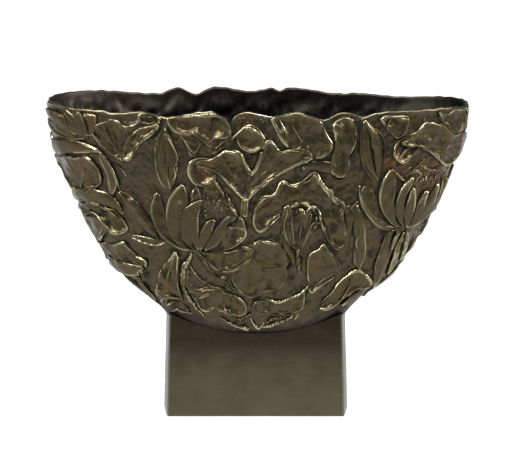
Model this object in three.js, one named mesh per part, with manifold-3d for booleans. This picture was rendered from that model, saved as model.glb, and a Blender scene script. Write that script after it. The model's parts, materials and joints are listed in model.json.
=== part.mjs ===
// An oval metal planter: a deep open bowl with water plants in high relief, on a plain rectangular foot.
// Millimetres, +Z up. The origin is on the floor under the middle of the foot, +X runs along the bowl's
// length and -Y is the front.
import * as THREE from 'three';
import { ParametricGeometry } from 'three/addons/geometries/ParametricGeometry.js';
import { mergeVertices } from 'three/addons/utils/BufferGeometryUtils.js';
import Module from 'manifold-3d';

const wasm = await Module();
wasm.setup();

// ---- Driving dimensions ----

const BOWL_LENGTH = 396; // wall to wall across the ends, at the rim
const BOWL_DEPTH = 154; // wall to wall from front to back, at the rim
const RIM_HEIGHT = 294; // floor to the middle of the scalloped rim
const BOWL_BOTTOM = 80; // floor to the underside of the bowl
const BOTTOM_SPREAD = 3; // how much longer the bowl's bottom is than the foot's front and back plates
const BOTTOM_STEP = 4; // how much shallower the bowl's bottom is than the foot
const WALL = 3; // thickness of the cast wall
const BOWL_FLOOR = 3; // thickness of the plate that closes the bowl
const FOOT_WIDTH = 161; // width of the foot's front and back plates, at their top
const FOOT_FLARE = 3; // how far each end of the foot spreads towards the floor
const FOOT_BOW = 5; // how far the foot's ends bow out at their middle
const FOOT_DEPTH = 104; // front face to back face
const FOOT_PLATE = 3; // thickness of the foot's plates
const FOOT_SHOULDER = 20; // how far the foot's corners rise above the middle of its top edge
const BASE_PLATE = 2.5; // thickness of the plate inside the foot
const BASE_RECESS = 3; // how far that plate sits above the foot's lower edge
const PAD_DIAMETER = 16;
const PAD_INSET = 16; // pad centre to the inside of the foot's plates
const PAD_PROUD = 1; // how far the pads lift the foot's lower edge off the floor
const GAP = 0.3; // brazing gap between neighbouring pieces
const RELIEF_SEAT = 0.7; // gap under a relief piece, which is soldered to the wall
const RELIEF_GAP = 0.6; // gap between neighbouring relief pieces

const BOTTOM_LENGTH = FOOT_WIDTH + BOTTOM_SPREAD;
const BOTTOM_DEPTH = FOOT_DEPTH - BOTTOM_STEP;

// How the bowl grows from its bottom to its rim: share of its height, share of the growth in length,
// share of the growth in depth, and how square its plan is (2 is an ellipse).
const GROWTH = [
  [0.0, 0.0, 0.0, 4.2],
  [0.06, 0.02, 0.13, 4.6],
  [0.11, 0.08, 0.26, 4.6],
  [0.18, 0.21, 0.41, 4.0],
  [0.26, 0.4, 0.56, 3.4],
  [0.37, 0.55, 0.7, 3.0],
  [0.51, 0.7, 0.83, 2.8],
  [0.68, 0.84, 0.93, 2.65],
  [0.84, 0.94, 0.99, 2.6],
  [1.0, 1.0, 1.0, 2.6],
];

// The relief is drawn on a flat sheet and wrapped round the bowl. A quarter of the way round is SHEET_QUARTER
// long, with 0 at the middle of the front, and the sheet's heights run from SHEET_LOW to SHEET_HIGH.
const SHEET_QUARTER = 235;
const SHEET_LOW = 80;
const SHEET_HIGH = 294;

// Crests and dips of the rim: place round the sheet, and rise above the rim's middle height.
const RIM = [
  [-470, -0.5], [-458, -1], [-428, 3], [-408, -3.5], [-392, 3], [-373, -2.5], [-310, 2.5], [-249, 2],
  [-235, -1], [-206, 4], [-180, 1.5], [-147, 1], [-132, -1], [-105, 1], [-84, -3.5], [-44, 2], [-27, -4],
  [-12, 1.5], [14, -2.5], [35, 1.5], [60, -5.5], [77, 1], [97, -3.5], [110, 0], [150, 1], [180, 1.5],
  [215, -2], [235, -1], [280, -1.5], [330, -4.5], [368, -2.5], [396, -3], [418, 0.5], [440, 2], [448, -0.5],
  [457, 2], [470, -0.5],
];

// Relief pieces of one side, from the top one down where two would meet: name, colour, height that the piece
// stands off the wall, its middle on the sheet and its outline round that middle.
const RELIEF = [
  ['seed_pod', 'pale', 5.5, [46, 188],
    [[30, 196], [37, 205], [52, 205], [62, 198], [60, 186], [52, 172], [39, 172], [31, 183]]],
  ['bud_left', 'dark', 4.5, [-86, 250],
    [[-85, 281], [-94, 266], [-97, 246], [-93, 229], [-86, 222], [-78, 234], [-74, 250], [-76, 267]]],
  ['bud_right', 'dark', 5, [106, 258],
    [[96, 288], [93, 272], [94, 256], [102, 243], [116, 231], [119, 246], [117, 264], [108, 280]]],
  ['rim_leaf_right', 'pale', 5.5, [43, 277],
    [[15, 289], [36, 293], [55, 287], [61, 274], [67, 264], [61, 255], [46, 261], [30, 265], [21, 274]]],
  ['rim_leaf_left', 'pale', 5.5, [-48, 275],
    [[-72, 288], [-46, 293], [-29, 287], [-25, 276], [-26, 266], [-42, 258], [-59, 254], [-68, 268]]],
  ['cup_leaf', 'dark', 4.5, [-7, 271],
    [[-20, 275], [-11, 283], [0, 279], [6, 270], [2, 262], [-6, 259], [-15, 263]]],
  ['tongue_leaf', 'dark', 4, [79, 261],
    [[71, 287], [84, 289], [91, 271], [87, 253], [87, 239], [77, 236], [70, 246], [72, 262]]],
  ['fan_leaf_left', 'pale', 4.5, [-124, 271],
    [[-155, 276], [-146, 285], [-131, 288], [-112, 284], [-96, 281], [-103, 271], [-114, 259], [-124, 251],
      [-134, 252], [-145, 262]]],
  ['fan_leaf_centre', 'pale', 5, [-8, 236],
    [[-56, 249], [-37, 255], [-20, 258], [-8, 246], [0, 249], [9, 263], [22, 258], [47, 256], [42, 249],
      [25, 240], [6, 227], [-11, 214], [-24, 225], [-37, 239]]],
  ['blossom_right', 'pale', 5, [146, 206],
    [[101, 225], [112, 222], [124, 236], [137, 236], [150, 229], [164, 213], [178, 218], [191, 219],
      [193, 202], [176, 190], [150, 185], [126, 192], [110, 207]]],
  ['blossom_left', 'pale', 5.5, [-60, 192],
    [[-106, 216], [-94, 216], [-80, 227], [-62, 217], [-44, 219], [-28, 211], [-13, 196], [-12, 182],
      [-30, 168], [-54, 163], [-78, 166], [-98, 176], [-107, 196]]],
  ['canopy_leaf', 'pale', 5.5, [45, 219],
    [[0, 207], [10, 217], [24, 230], [42, 230], [57, 235], [68, 223], [82, 214], [92, 205], [97, 186],
      [97, 171], [88, 171], [76, 185], [64, 201], [46, 209], [28, 203], [14, 198], [2, 194]]],
  ['heart_leaf', 'dark', 5, [78, 148],
    [[75, 169], [88, 161], [99, 147], [94, 137], [83, 126], [73, 126], [66, 137], [60, 152], [64, 164]]],
  ['pond_leaf', 'dark', 4.5, [6, 149],
    [[-3, 171], [14, 174], [29, 167], [37, 155], [38, 144], [31, 129], [10, 127], [-11, 123], [-27, 131],
      [-30, 145], [-14, 157]]],
  ['kidney_leaf', 'dark', 4.5, [-52, 115],
    [[-89, 113], [-81, 122], [-62, 126], [-40, 124], [-21, 116], [-17, 109], [-40, 104], [-70, 106]]],
  ['trumpet_leaf', 'pale', 4.5, [-113, 131],
    [[-92, 162], [-110, 151], [-128, 134], [-146, 118], [-133, 110], [-112, 110], [-102, 128], [-94, 145]]],
  ['low_leaf_right', 'dark', 4.5, [121, 129],
    [[104, 121], [105, 134], [120, 144], [143, 138], [152, 130], [136, 125], [124, 113], [105, 110]]],
  ['end_leaf', 'dark', 4.5, [176, 262],
    [[150, 277], [166, 282], [185, 273], [205, 269], [214, 259], [205, 250], [184, 245], [164, 254],
      [142, 262], [134, 269]]],
  ['rim_leaf_small', 'pale', 4, [126, 281],
    [[113, 287], [122, 291], [137, 287], [138, 277], [130, 271], [120, 276]]],
  ['end_blossom', 'pale', 4, [-173, 280],
    [[-190, 289], [-168, 292], [-158, 283], [-160, 271], [-173, 268], [-189, 273]]],
  ['band_leaf', 'dark', 4, [-180, 259],
    [[-218, 259], [-195, 264], [-165, 264], [-153, 259], [-158, 255], [-176, 254], [-198, 252]]],
  ['side_leaf', 'pale', 4.5, [-182, 234],
    [[-216, 245], [-192, 249], [-166, 251], [-156, 241], [-157, 228], [-170, 220], [-189, 213], [-203, 229]]],
  ['lower_leaf', 'dark', 4, [-167, 192],
    [[-190, 204], [-166, 207], [-146, 198], [-143, 185], [-158, 179], [-178, 178], [-192, 185]]],
];

// ---- Solids ----

// A closed geometry as a solid that can be cut and joined.
function solid(geometry) {
  const bare = geometry.clone();
  bare.deleteAttribute('normal');
  bare.deleteAttribute('uv');
  const merged = mergeVertices(bare, 1e-3);
  const mesh = new wasm.Mesh({
    numProp: 3,
    vertProperties: merged.attributes.position.array,
    triVerts: new Uint32Array(merged.index.array),
  });
  return new wasm.Manifold(mesh);
}

// A solid back as a geometry.
function surface(body) {
  const mesh = body.getMesh();
  const geometry = new THREE.BufferGeometry();
  geometry.setAttribute('position', new THREE.BufferAttribute(new Float32Array(mesh.vertProperties), 3));
  geometry.setIndex(new THREE.BufferAttribute(new Uint32Array(mesh.triVerts), 1));
  const flat = geometry.toNonIndexed();
  flat.computeVertexNormals();
  return flat;
}

function slab(sizeX, sizeY, sizeZ, x, y, z) {
  return solid(new THREE.BoxGeometry(sizeX, sizeY, sizeZ).translate(x, y, z));
}

// ---- Bowl surface ----

const growth = new THREE.CubicInterpolant(
  GROWTH.map((row) => row[0]),
  GROWTH.flatMap((row) => row.slice(1)),
  3,
);

const rimRise = new THREE.CubicInterpolant(
  RIM.map((point) => point[0]),
  RIM.map((point) => point[1]),
  1,
);

// The bowl's plan at one height, with the start at the middle of the front and +X first.
class Plan extends THREE.Curve {
  constructor(height, inset) {
    super();
    const share = THREE.MathUtils.clamp((height - BOWL_BOTTOM) / (RIM_HEIGHT - BOWL_BOTTOM), 0, 1);
    const [long, deep, square] = growth.evaluate(share);
    this.halfLength = THREE.MathUtils.lerp(BOTTOM_LENGTH, BOWL_LENGTH, long) / 2 - inset;
    this.halfDepth = THREE.MathUtils.lerp(BOTTOM_DEPTH, BOWL_DEPTH, deep) / 2 - inset;
    this.square = square;
    this.height = height;
    this.arcLengthDivisions = 480;
  }

  getPoint(turn, target = new THREE.Vector3()) {
    const angle = turn * 2 * Math.PI;
    const along = Math.abs(Math.sin(angle)) / this.halfLength;
    const across = Math.abs(Math.cos(angle)) / this.halfDepth;
    const radius = (along ** this.square + across ** this.square) ** (-1 / this.square);
    return target.set(radius * Math.sin(angle), -radius * Math.cos(angle), this.height);
  }
}

const plans = new Map();

function planAt(height, inset) {
  const key = height.toFixed(2) + '/' + inset;
  if (!plans.has(key)) plans.set(key, new Plan(height, inset));
  return plans.get(key);
}

// The point a share of the way round the bowl at one height, inset from its outside.
function onBowl(turn, height, inset) {
  const share = THREE.MathUtils.euclideanModulo(turn, 1);
  return planAt(height, inset).getPointAt(share, new THREE.Vector3());
}

function rimHeight(turn) {
  const whole = 4 * SHEET_QUARTER;
  const place = THREE.MathUtils.euclideanModulo(turn + 0.5, 1) * whole - whole / 2;
  return RIM_HEIGHT + rimRise.evaluate(place)[0];
}

// A point of the relief's sheet on the bowl, lifted off the wall.
function onSheet(place, height, lift) {
  const step = 1;
  const turn = place / (4 * SHEET_QUARTER);
  const share = (height - SHEET_LOW) / (SHEET_HIGH - SHEET_LOW);
  const level = THREE.MathUtils.lerp(BOWL_BOTTOM, RIM_HEIGHT, share);
  const point = onBowl(turn, level, 0);
  const beside = onBowl(turn + step / (4 * SHEET_QUARTER), level, 0).sub(point);
  const above = onBowl(turn, level + step, 0).sub(onBowl(turn, level - step, 0));
  const outward = beside.cross(above).normalize();
  return point.addScaledVector(outward, lift);
}

// ---- Bowl pieces ----

const AROUND = 88; // facets round the bowl
const ROWS_OUTSIDE = 13;
const ROWS_INSIDE = 8;

// The cast wall as a ring: up its outside, over the rim and down its inside.
function bowlRing() {
  const rows = ROWS_OUTSIDE + ROWS_INSIDE + 2;
  const place = (turn, along, target) => {
    const row = Math.round(along * rows) % rows;
    const inside = row > ROWS_OUTSIDE;
    const climb = inside ? 1 - (row - ROWS_OUTSIDE - 1) / ROWS_INSIDE : row / ROWS_OUTSIDE;
    const height = THREE.MathUtils.lerp(BOWL_BOTTOM, rimHeight(turn), climb);
    target.copy(onBowl(turn, height, inside ? WALL : 0));
  };
  return solid(new ParametricGeometry(place, AROUND, rows));
}

// The bowl's outer shape as a filled solid, grown by a gap, for cutting the foot to it.
function bowlFilled(gap) {
  const rows = ROWS_OUTSIDE + 2;
  const place = (turn, along, target) => {
    const row = Math.round(along * rows);
    const climb = THREE.MathUtils.clamp((row - 1) / ROWS_OUTSIDE, 0, 1);
    const height = THREE.MathUtils.lerp(BOWL_BOTTOM, rimHeight(turn), climb);
    target.copy(onBowl(turn, height, -gap));
    if (row <= 1) target.z -= gap;
    if (row === 0) target.setX(0).setY(0);
    if (row === rows) target.set(0, 0, RIM_HEIGHT);
  };
  return solid(new ParametricGeometry(place, AROUND, rows));
}

// Half of the wall. The two halves are cast apart and brazed together along the ends.
function bowlHalf(side) {
  const reach = BOWL_LENGTH + BOWL_DEPTH;
  const half = slab(2 * reach, reach, 4 * RIM_HEIGHT, 0, side * (reach + GAP) / 2, 0);
  return surface(bowlRing().intersect(half));
}

// The plate that closes the bottom of the bowl, inside the wall.
function bowlFloor() {
  const rows = 3;
  const place = (turn, along, target) => {
    const row = Math.round(along * rows);
    const height = row < 2 ? BOWL_BOTTOM + GAP : BOWL_BOTTOM + BOWL_FLOOR;
    target.copy(onBowl(turn, BOWL_BOTTOM, WALL + GAP)).setZ(height);
    if (row === 0 || row === rows) target.setX(0).setY(0);
  };
  return new ParametricGeometry(place, AROUND, rows);
}

// ---- Foot pieces ----

const FOOT_TOP = BOWL_BOTTOM + FOOT_SHOULDER;

// Spreads the ends of a foot piece towards the floor.
function flare(geometry) {
  const points = geometry.attributes.position;
  for (let i = 0; i < points.count; i += 1) {
    const drop = (FOOT_TOP - points.getZ(i)) / (FOOT_TOP - PAD_PROUD);
    points.setX(i, points.getX(i) + Math.sign(points.getX(i)) * FOOT_FLARE * drop);
  }
  return geometry;
}

// Front or back plate: flat, with a hollow top edge that the bowl sits down into.
function footPlate(side, bowl) {
  const half = FOOT_WIDTH / 2;
  const outline = new THREE.Shape();
  outline.moveTo(-half, PAD_PROUD);
  outline.lineTo(half, PAD_PROUD);
  outline.lineTo(half, FOOT_TOP);
  outline.quadraticCurveTo(0, BOWL_BOTTOM + 2 - FOOT_SHOULDER, -half, FOOT_TOP);
  const options = { depth: FOOT_PLATE, bevelEnabled: false, curveSegments: 20 };
  const plate = new THREE.ExtrudeGeometry(outline, options).rotateX(Math.PI / 2);
  plate.translate(0, side < 0 ? FOOT_PLATE - FOOT_DEPTH / 2 : FOOT_DEPTH / 2, 0);
  return surface(solid(flare(plate)).subtract(bowl));
}

// One bowed end, between the front and back plates.
function footEnd(side, bowl) {
  const half = FOOT_WIDTH / 2;
  const reach = FOOT_DEPTH / 2 - FOOT_PLATE - GAP;
  const outline = new THREE.Shape();
  outline.moveTo(half, -reach);
  outline.quadraticCurveTo(half + 2 * FOOT_BOW, 0, half, reach);
  outline.lineTo(half - FOOT_PLATE, reach);
  outline.quadraticCurveTo(half - FOOT_PLATE + 2 * FOOT_BOW, 0, half - FOOT_PLATE, -reach);
  const options = { depth: FOOT_TOP - PAD_PROUD, bevelEnabled: false, curveSegments: 10 };
  const plate = new THREE.ExtrudeGeometry(outline, options).translate(0, 0, PAD_PROUD);
  const end = flare(plate);
  if (side < 0) end.rotateZ(Math.PI);
  return surface(solid(end).subtract(bowl));
}

const BASE_BOTTOM = PAD_PROUD + BASE_RECESS;

// The plate inside the foot's lower edge, which carries the pads.
function basePlate() {
  const half = FOOT_WIDTH / 2 - FOOT_PLATE - GAP;
  const reach = FOOT_DEPTH / 2 - FOOT_PLATE - GAP;
  const outline = new THREE.Shape();
  outline.moveTo(half, -reach);
  outline.quadraticCurveTo(half + 2 * FOOT_BOW, 0, half, reach);
  outline.lineTo(-half, reach);
  outline.quadraticCurveTo(-half - 2 * FOOT_BOW, 0, -half, -reach);
  const options = { depth: BASE_PLATE, bevelEnabled: false, curveSegments: 10 };
  return flare(new THREE.ExtrudeGeometry(outline, options).translate(0, 0, BASE_BOTTOM));
}

function feltPad() {
  const thickness = BASE_BOTTOM - GAP;
  const pad = new THREE.CylinderGeometry(PAD_DIAMETER / 2, PAD_DIAMETER / 2, thickness, 24);
  return pad.rotateX(Math.PI / 2).translate(0, 0, thickness / 2);
}

// ---- Relief pieces ----

// Rows of a relief piece, from the middle of its back over the edge to the middle of its face:
// share of the way out to the edge, and share of its height.
const DOME = [[0, 0], [0.4, 0], [0.75, 0], [1, 0], [1, 0.45], [0.6, 1], [0, 0.8]];

// A domed piece over an outline on the sheet, between two lifts off the wall, grown sideways.
function dome(hub, outline, low, high, grow) {
  const corners = outline.map(([x, y]) => new THREE.Vector3(x, y, 0));
  if (THREE.ShapeUtils.isClockWise(corners)) corners.reverse();
  const edge = new THREE.CatmullRomCurve3(corners, true);
  const middle = new THREE.Vector3(...hub, 0);
  const facets = outline.length * 2;
  const rows = DOME.length - 1;
  const place = (turn, along, target) => {
    const [out, up] = DOME[Math.round(along * rows)];
    const arm = edge.getPoint(turn % 1).sub(middle);
    arm.multiplyScalar(out * (1 + grow / arm.length()));
    const lift = THREE.MathUtils.lerp(low, high, up);
    target.copy(onSheet(middle.x + arm.x, middle.y + arm.y, lift));
  };
  return solid(new ParametricGeometry(place, facets, rows));
}

// Every relief piece of one side, each cut back where a piece before it lies.
function reliefPieces() {
  const cutters = [];
  const pieces = [];
  for (const [name, colour, stands, hub, outline] of RELIEF) {
    let piece = dome(hub, outline, RELIEF_SEAT, stands, 0);
    for (const cutter of cutters) piece = piece.subtract(cutter);
    cutters.push(dome(hub, outline, -2 * WALL, 3 * stands, RELIEF_GAP));
    pieces.push([name, colour, surface(piece)]);
  }
  return pieces;
}

// ---- The planter ----

const planter = new THREE.Group();

const COLOURS = {
  wall: [0x4a4334, 0.45],
  foot: [0x4c4637, 0.4],
  pale: [0x7d7450, 0.38],
  dark: [0x5a5140, 0.42],
  felt: [0x1c1b19, 0.95],
};

function add(name, geometry, colour) {
  const [color, roughness] = COLOURS[colour];
  const metalness = colour === 'felt' ? 0 : 1;
  const mesh = new THREE.Mesh(geometry, new THREE.MeshStandardMaterial({ color, roughness, metalness }));
  mesh.name = name;
  planter.add(mesh);
  return mesh;
}

const bowl = bowlFilled(GAP);
add('bowl_front_wall', bowlHalf(-1), 'wall');
add('bowl_back_wall', bowlHalf(1), 'wall');
add('bowl_floor', bowlFloor(), 'wall');
add('foot_front_plate', footPlate(-1, bowl), 'foot');
add('foot_back_plate', footPlate(1, bowl), 'foot');
add('foot_left_end', footEnd(-1, bowl), 'foot');
add('foot_right_end', footEnd(1, bowl), 'foot');
add('foot_base_plate', basePlate(), 'foot');

for (const [across, acrossName] of [[-1, 'left'], [1, 'right']]) {
  for (const [along, alongName] of [[-1, 'front'], [1, 'back']]) {
    const pad = add('felt_pad_' + alongName + '_' + acrossName, feltPad(), 'felt');
    const inset = FOOT_PLATE + PAD_INSET;
    pad.position.set(across * (FOOT_WIDTH / 2 - inset), along * (FOOT_DEPTH / 2 - inset), 0);
  }
}

// The back carries the front's relief turned half a turn.
for (const [name, colour, geometry] of reliefPieces()) {
  add('front_' + name, geometry, colour);
  add('back_' + name, geometry.clone(), colour).rotation.z = Math.PI;
}

export default planter;
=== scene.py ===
# %% [markdown]
# # A brass planter with water plants in relief
# The planter is a deep, open, oval bowl on a plain rectangular foot. It is cast in sections, and the
# sections are brazed together. Lotus blossoms, buds, seed pods and leaves cover the bowl, front and back.
# This notebook dresses the measured frame: each casting of the frame gets a finished casting in its place,
# then the bronze patina, the studio and the camera follow.

import json
import math

import bmesh
import bpy
import numpy as np
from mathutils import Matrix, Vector

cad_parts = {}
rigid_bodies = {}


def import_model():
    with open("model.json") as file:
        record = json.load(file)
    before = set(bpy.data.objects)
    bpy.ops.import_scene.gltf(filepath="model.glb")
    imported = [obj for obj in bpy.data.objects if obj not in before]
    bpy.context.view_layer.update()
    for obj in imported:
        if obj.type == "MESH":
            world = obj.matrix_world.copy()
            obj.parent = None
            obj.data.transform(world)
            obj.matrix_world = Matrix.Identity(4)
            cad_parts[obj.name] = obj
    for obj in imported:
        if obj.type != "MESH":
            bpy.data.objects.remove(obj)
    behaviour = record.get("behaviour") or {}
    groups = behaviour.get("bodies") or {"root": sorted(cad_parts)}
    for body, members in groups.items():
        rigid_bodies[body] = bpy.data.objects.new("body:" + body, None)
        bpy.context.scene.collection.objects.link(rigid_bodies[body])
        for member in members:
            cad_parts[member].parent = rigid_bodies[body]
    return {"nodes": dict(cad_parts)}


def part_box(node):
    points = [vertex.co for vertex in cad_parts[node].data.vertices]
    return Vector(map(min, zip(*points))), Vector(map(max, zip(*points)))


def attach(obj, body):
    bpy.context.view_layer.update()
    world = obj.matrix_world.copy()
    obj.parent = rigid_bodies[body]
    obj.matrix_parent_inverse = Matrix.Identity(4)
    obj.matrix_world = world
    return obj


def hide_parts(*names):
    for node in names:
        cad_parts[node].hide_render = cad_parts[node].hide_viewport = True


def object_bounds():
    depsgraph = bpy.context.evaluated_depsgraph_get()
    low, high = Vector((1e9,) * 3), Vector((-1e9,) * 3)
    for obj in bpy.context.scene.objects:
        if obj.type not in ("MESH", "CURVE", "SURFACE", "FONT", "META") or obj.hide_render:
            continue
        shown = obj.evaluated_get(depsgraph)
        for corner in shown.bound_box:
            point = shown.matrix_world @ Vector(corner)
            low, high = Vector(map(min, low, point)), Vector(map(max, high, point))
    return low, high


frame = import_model()
frame_low, frame_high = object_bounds()
frame_size = [round(1000 * side) for side in frame_high - frame_low]
print("frame:", frame_size, "mm over", len(frame["nodes"]), "castings")

# %% [markdown]
# ## Sizes
# The sizes come from the frame's own castings. Lengths in this notebook are in millimetres until a piece is
# laid on the bowl, and Blender gets metres.

# %% Read the sizes off the frame
MM = 0.001
wall_low, wall_high = (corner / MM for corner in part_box("bowl_front_wall"))
plate_low, plate_high = (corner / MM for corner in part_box("foot_front_plate"))
end_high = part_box("foot_right_end")[1] / MM
HIGHEST_CREST = 4.0
RIM = wall_high.z - HIGHEST_CREST
BOTTOM = wall_low.z
HALF_LENGTH = wall_high.x
HALF_DEPTH = -wall_low.y
FOOT_BASE = plate_low.z
FOOT_TOP = plate_high.z
FOOT_HALF_DEPTH = -plate_low.y
FOOT_HALF_WIDTH = plate_high.x
FOOT_FLARE = 3.0
BOTTOM_HALF_LENGTH = FOOT_HALF_WIDTH - FOOT_FLARE + 1.5
BOTTOM_HALF_DEPTH = FOOT_HALF_DEPTH - 2.0
WALL = 3.0
print("bowl", round(2 * HALF_LENGTH), "x", round(2 * HALF_DEPTH), "mm; rim at", round(RIM), "mm")
print("foot", round(2 * FOOT_HALF_WIDTH), "x", round(2 * FOOT_HALF_DEPTH), "mm, top at", round(FOOT_TOP))

# %% [markdown]
# ## The bowl's surface
# A potter would say that the bowl opens quickly just above the foot and then rises almost straight. Its
# plan is a rounded rectangle low down and close to an ellipse at the rim. The table gives, for each share
# of the height, the share of the growth in length and in depth, and how square the plan is. The relief is
# drawn flat, as on a sheet of paper, and wrapped round the bowl: a place on the sheet is millimetres round
# the bowl from the middle of the front, and a height is millimetres above the floor.

# %% Draw the bowl
GROWTH = [
    (0.0, 0.0, 0.0, 4.2), (0.06, 0.02, 0.13, 4.6), (0.11, 0.08, 0.26, 4.6), (0.18, 0.21, 0.41, 4.0),
    (0.26, 0.4, 0.56, 3.4), (0.37, 0.55, 0.7, 3.0), (0.51, 0.7, 0.83, 2.8), (0.68, 0.84, 0.93, 2.65),
    (0.84, 0.94, 0.99, 2.6), (1.0, 1.0, 1.0, 2.6),
]
LEAN = 2.2
SHEET_QUARTER = 235.0
SHEET_ROUND = 4 * SHEET_QUARTER
ROW_STEP = 2.0
ROW_HEIGHTS = np.arange(60.0, 313.0, ROW_STEP)
COLUMNS = 1880
ANGLES = 2881


def smooth_table(rows, at):
    """A smooth curve through the rows of a table, read at the places in `at`."""
    rows = np.array(rows, float)
    x, y = rows[:, 0], rows[:, 1:]
    slope = np.gradient(y, axis=0) / np.gradient(x)[:, None]
    i = np.clip(np.searchsorted(x, at, side="right") - 1, 0, len(x) - 2)
    step = (x[i + 1] - x[i])[..., None]
    t = ((at - x[i])[..., None]) / step
    return ((2 * t**3 - 3 * t**2 + 1) * y[i] + (t**3 - 2 * t**2 + t) * step * slope[i]
            + (3 * t**2 - 2 * t**3) * y[i + 1] + (t**3 - t**2) * step * slope[i + 1])


def draw_bowl():
    """Points and outward directions of the bowl: a row for each height, a column for each half millimetre."""
    share = np.clip((ROW_HEIGHTS - BOTTOM) / (RIM - BOTTOM), 0, 1.03)
    long, deep_patina_and_shade, square = smooth_table(GROWTH, share).T
    lean = LEAN * np.clip(share, 0, 1)
    length = BOTTOM_HALF_LENGTH + (HALF_LENGTH - BOTTOM_HALF_LENGTH) * long
    depth = BOTTOM_HALF_DEPTH + (HALF_DEPTH - BOTTOM_HALF_DEPTH) * deep_patina_and_shade
    angle = np.linspace(0, 2 * math.pi, ANGLES)
    points = np.empty((len(ROW_HEIGHTS), COLUMNS, 3))
    for row, (a, b, n) in enumerate(zip(length, depth, square)):
        radius = (np.abs(np.sin(angle) / a) ** n + np.abs(np.cos(angle) / b) ** n) ** (-1 / n)
        x, y = radius * np.sin(angle), -radius * np.cos(angle)
        run = np.concatenate([[0], np.cumsum(np.hypot(np.diff(x), np.diff(y)))])
        turns = np.arange(COLUMNS) / COLUMNS * run[-1]
        points[row] = np.column_stack([np.interp(turns, run, x) + lean[row], np.interp(turns, run, y),
                                       np.full(COLUMNS, ROW_HEIGHTS[row])])
    across = np.roll(points, -3, axis=1) - np.roll(points, 3, axis=1)
    outward = np.cross(across, np.gradient(points, axis=0))
    return points, outward / np.linalg.norm(outward, axis=2, keepdims=True)


BOWL_POINTS, BOWL_OUTWARD = draw_bowl()


def read_grid(table, row, column):
    """Values of a table of rows and columns between its own points. Its columns go right round."""
    row = np.clip(row, 0, len(table) - 1.001)
    r, c = np.floor(row).astype(int), np.floor(column).astype(int)
    fr, fc = (row - r)[:, None], (column - c)[:, None]
    c, d = c % table.shape[1], (c + 1) % table.shape[1]
    return ((table[r, c] * (1 - fc) + table[r, d] * fc) * (1 - fr)
            + (table[r + 1, c] * (1 - fc) + table[r + 1, d] * fc) * fr)


def on_bowl(sheet):
    """Points of the sheet (place, height, lift off the wall) as points in space."""
    row = (sheet[:, 1] - ROW_HEIGHTS[0]) / ROW_STEP
    column = sheet[:, 0] / SHEET_ROUND * COLUMNS
    outward = read_grid(BOWL_OUTWARD, row, column)
    return read_grid(BOWL_POINTS, row, column) + outward * sheet[:, 2:3]


rim_row = BOWL_POINTS[int((RIM - ROW_HEIGHTS[0]) / ROW_STEP)]
girth = np.linalg.norm(np.roll(rim_row, -1, axis=0) - rim_row, axis=1).sum()
print("the sheet is", SHEET_ROUND, "mm round, and the rim's girth is", round(float(girth)), "mm")

# %% [markdown]
# ## Lumps
# Nothing on a sand casting is quite flat. `lumps` is a soft random swell made from a few waves that cross
# each other, and each seed gives its own pattern.

# %% Random swells
def lumps(points, size, seed, waves=9):
    """A soft swell between about -1 and 1 at each point, with bumps about `size` across."""
    draw = np.random.default_rng(seed)
    direction = draw.normal(size=(waves, points.shape[1]))
    direction /= np.linalg.norm(direction, axis=1, keepdims=True)
    pace = 2 * math.pi / (size * draw.uniform(0.7, 1.6, waves))
    phase = draw.uniform(0, 2 * math.pi, waves)
    return np.sin(points @ (direction * pace[:, None]).T + phase).sum(axis=1) / math.sqrt(waves)


def soft_step(low, high, value):
    """Rises gently from 0 at low to 1 at high."""
    t = np.clip((value - low) / (high - low), 0, 1)
    return t * t * (3 - 2 * t)


print("a swell 10 mm across, at three places:", np.round(lumps(5.0 * np.eye(3), 10, 1), 2))

# %% [markdown]
# ## Three ways to model wax
# The founder models the plants in wax, and every form here is one of three. A `leaf` spreads from a hub to
# a freely drawn edge. A `petal` follows a line and has a width. A `cord` is a petal with a round back, for
# stems, veins and rolled edges. Each is a closed body that starts as a ball and is pressed to shape, so no
# seam or edge is left open.

# %% Curves
def through(points, step, closed=False):
    """A smooth curve through the points, cut into steps of about the same length."""
    p = np.array(points, float)
    ring = np.vstack([p[-1], p, p[0], p[1]]) if closed else np.vstack([2 * p[0] - p[1], p, 2 * p[-1] - p[-2]])
    t = np.linspace(0, 1, 24, endpoint=False)[:, None]
    spans = []
    for a, b, c, d in zip(ring, ring[1:], ring[2:], ring[3:]):
        square = 2 * a - 5 * b + 4 * c - d
        cube = 3 * b - a - 3 * c + d
        spans.append(0.5 * (2 * b + (c - a) * t + square * t**2 + cube * t**3))
    line = np.vstack(spans + [ring[-2:-1]])
    run = np.concatenate([[0], np.cumsum(np.linalg.norm(np.diff(line[:, :2], axis=0), axis=1))])
    count = max(int(run[-1] / step), 8)
    at = np.linspace(0, run[-1], count + 1)
    if closed:
        at = at[:-1]
    return np.column_stack([np.interp(at, run, column) for column in line.T])


square_ring = through([(0, 0), (9, 0), (9, 9), (0, 9)], 1, closed=True)
print("a smooth ring through the corners of a 9 mm square has", len(square_ring), "steps of about 1 mm")

# %% [markdown]
# ### Leaf, petal and cord
# Each form starts as a ball whose rows run from the middle of a leaf to its edge, or along a petal. A
# formula then gives every point its place on the sheet and its lift off the wall. A bead thickens a leaf's
# edge, a ridge does the same for a petal, and slow swells keep either from looking stamped. The sides go
# down into the wall, so that no gap shows under an edge.

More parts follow.
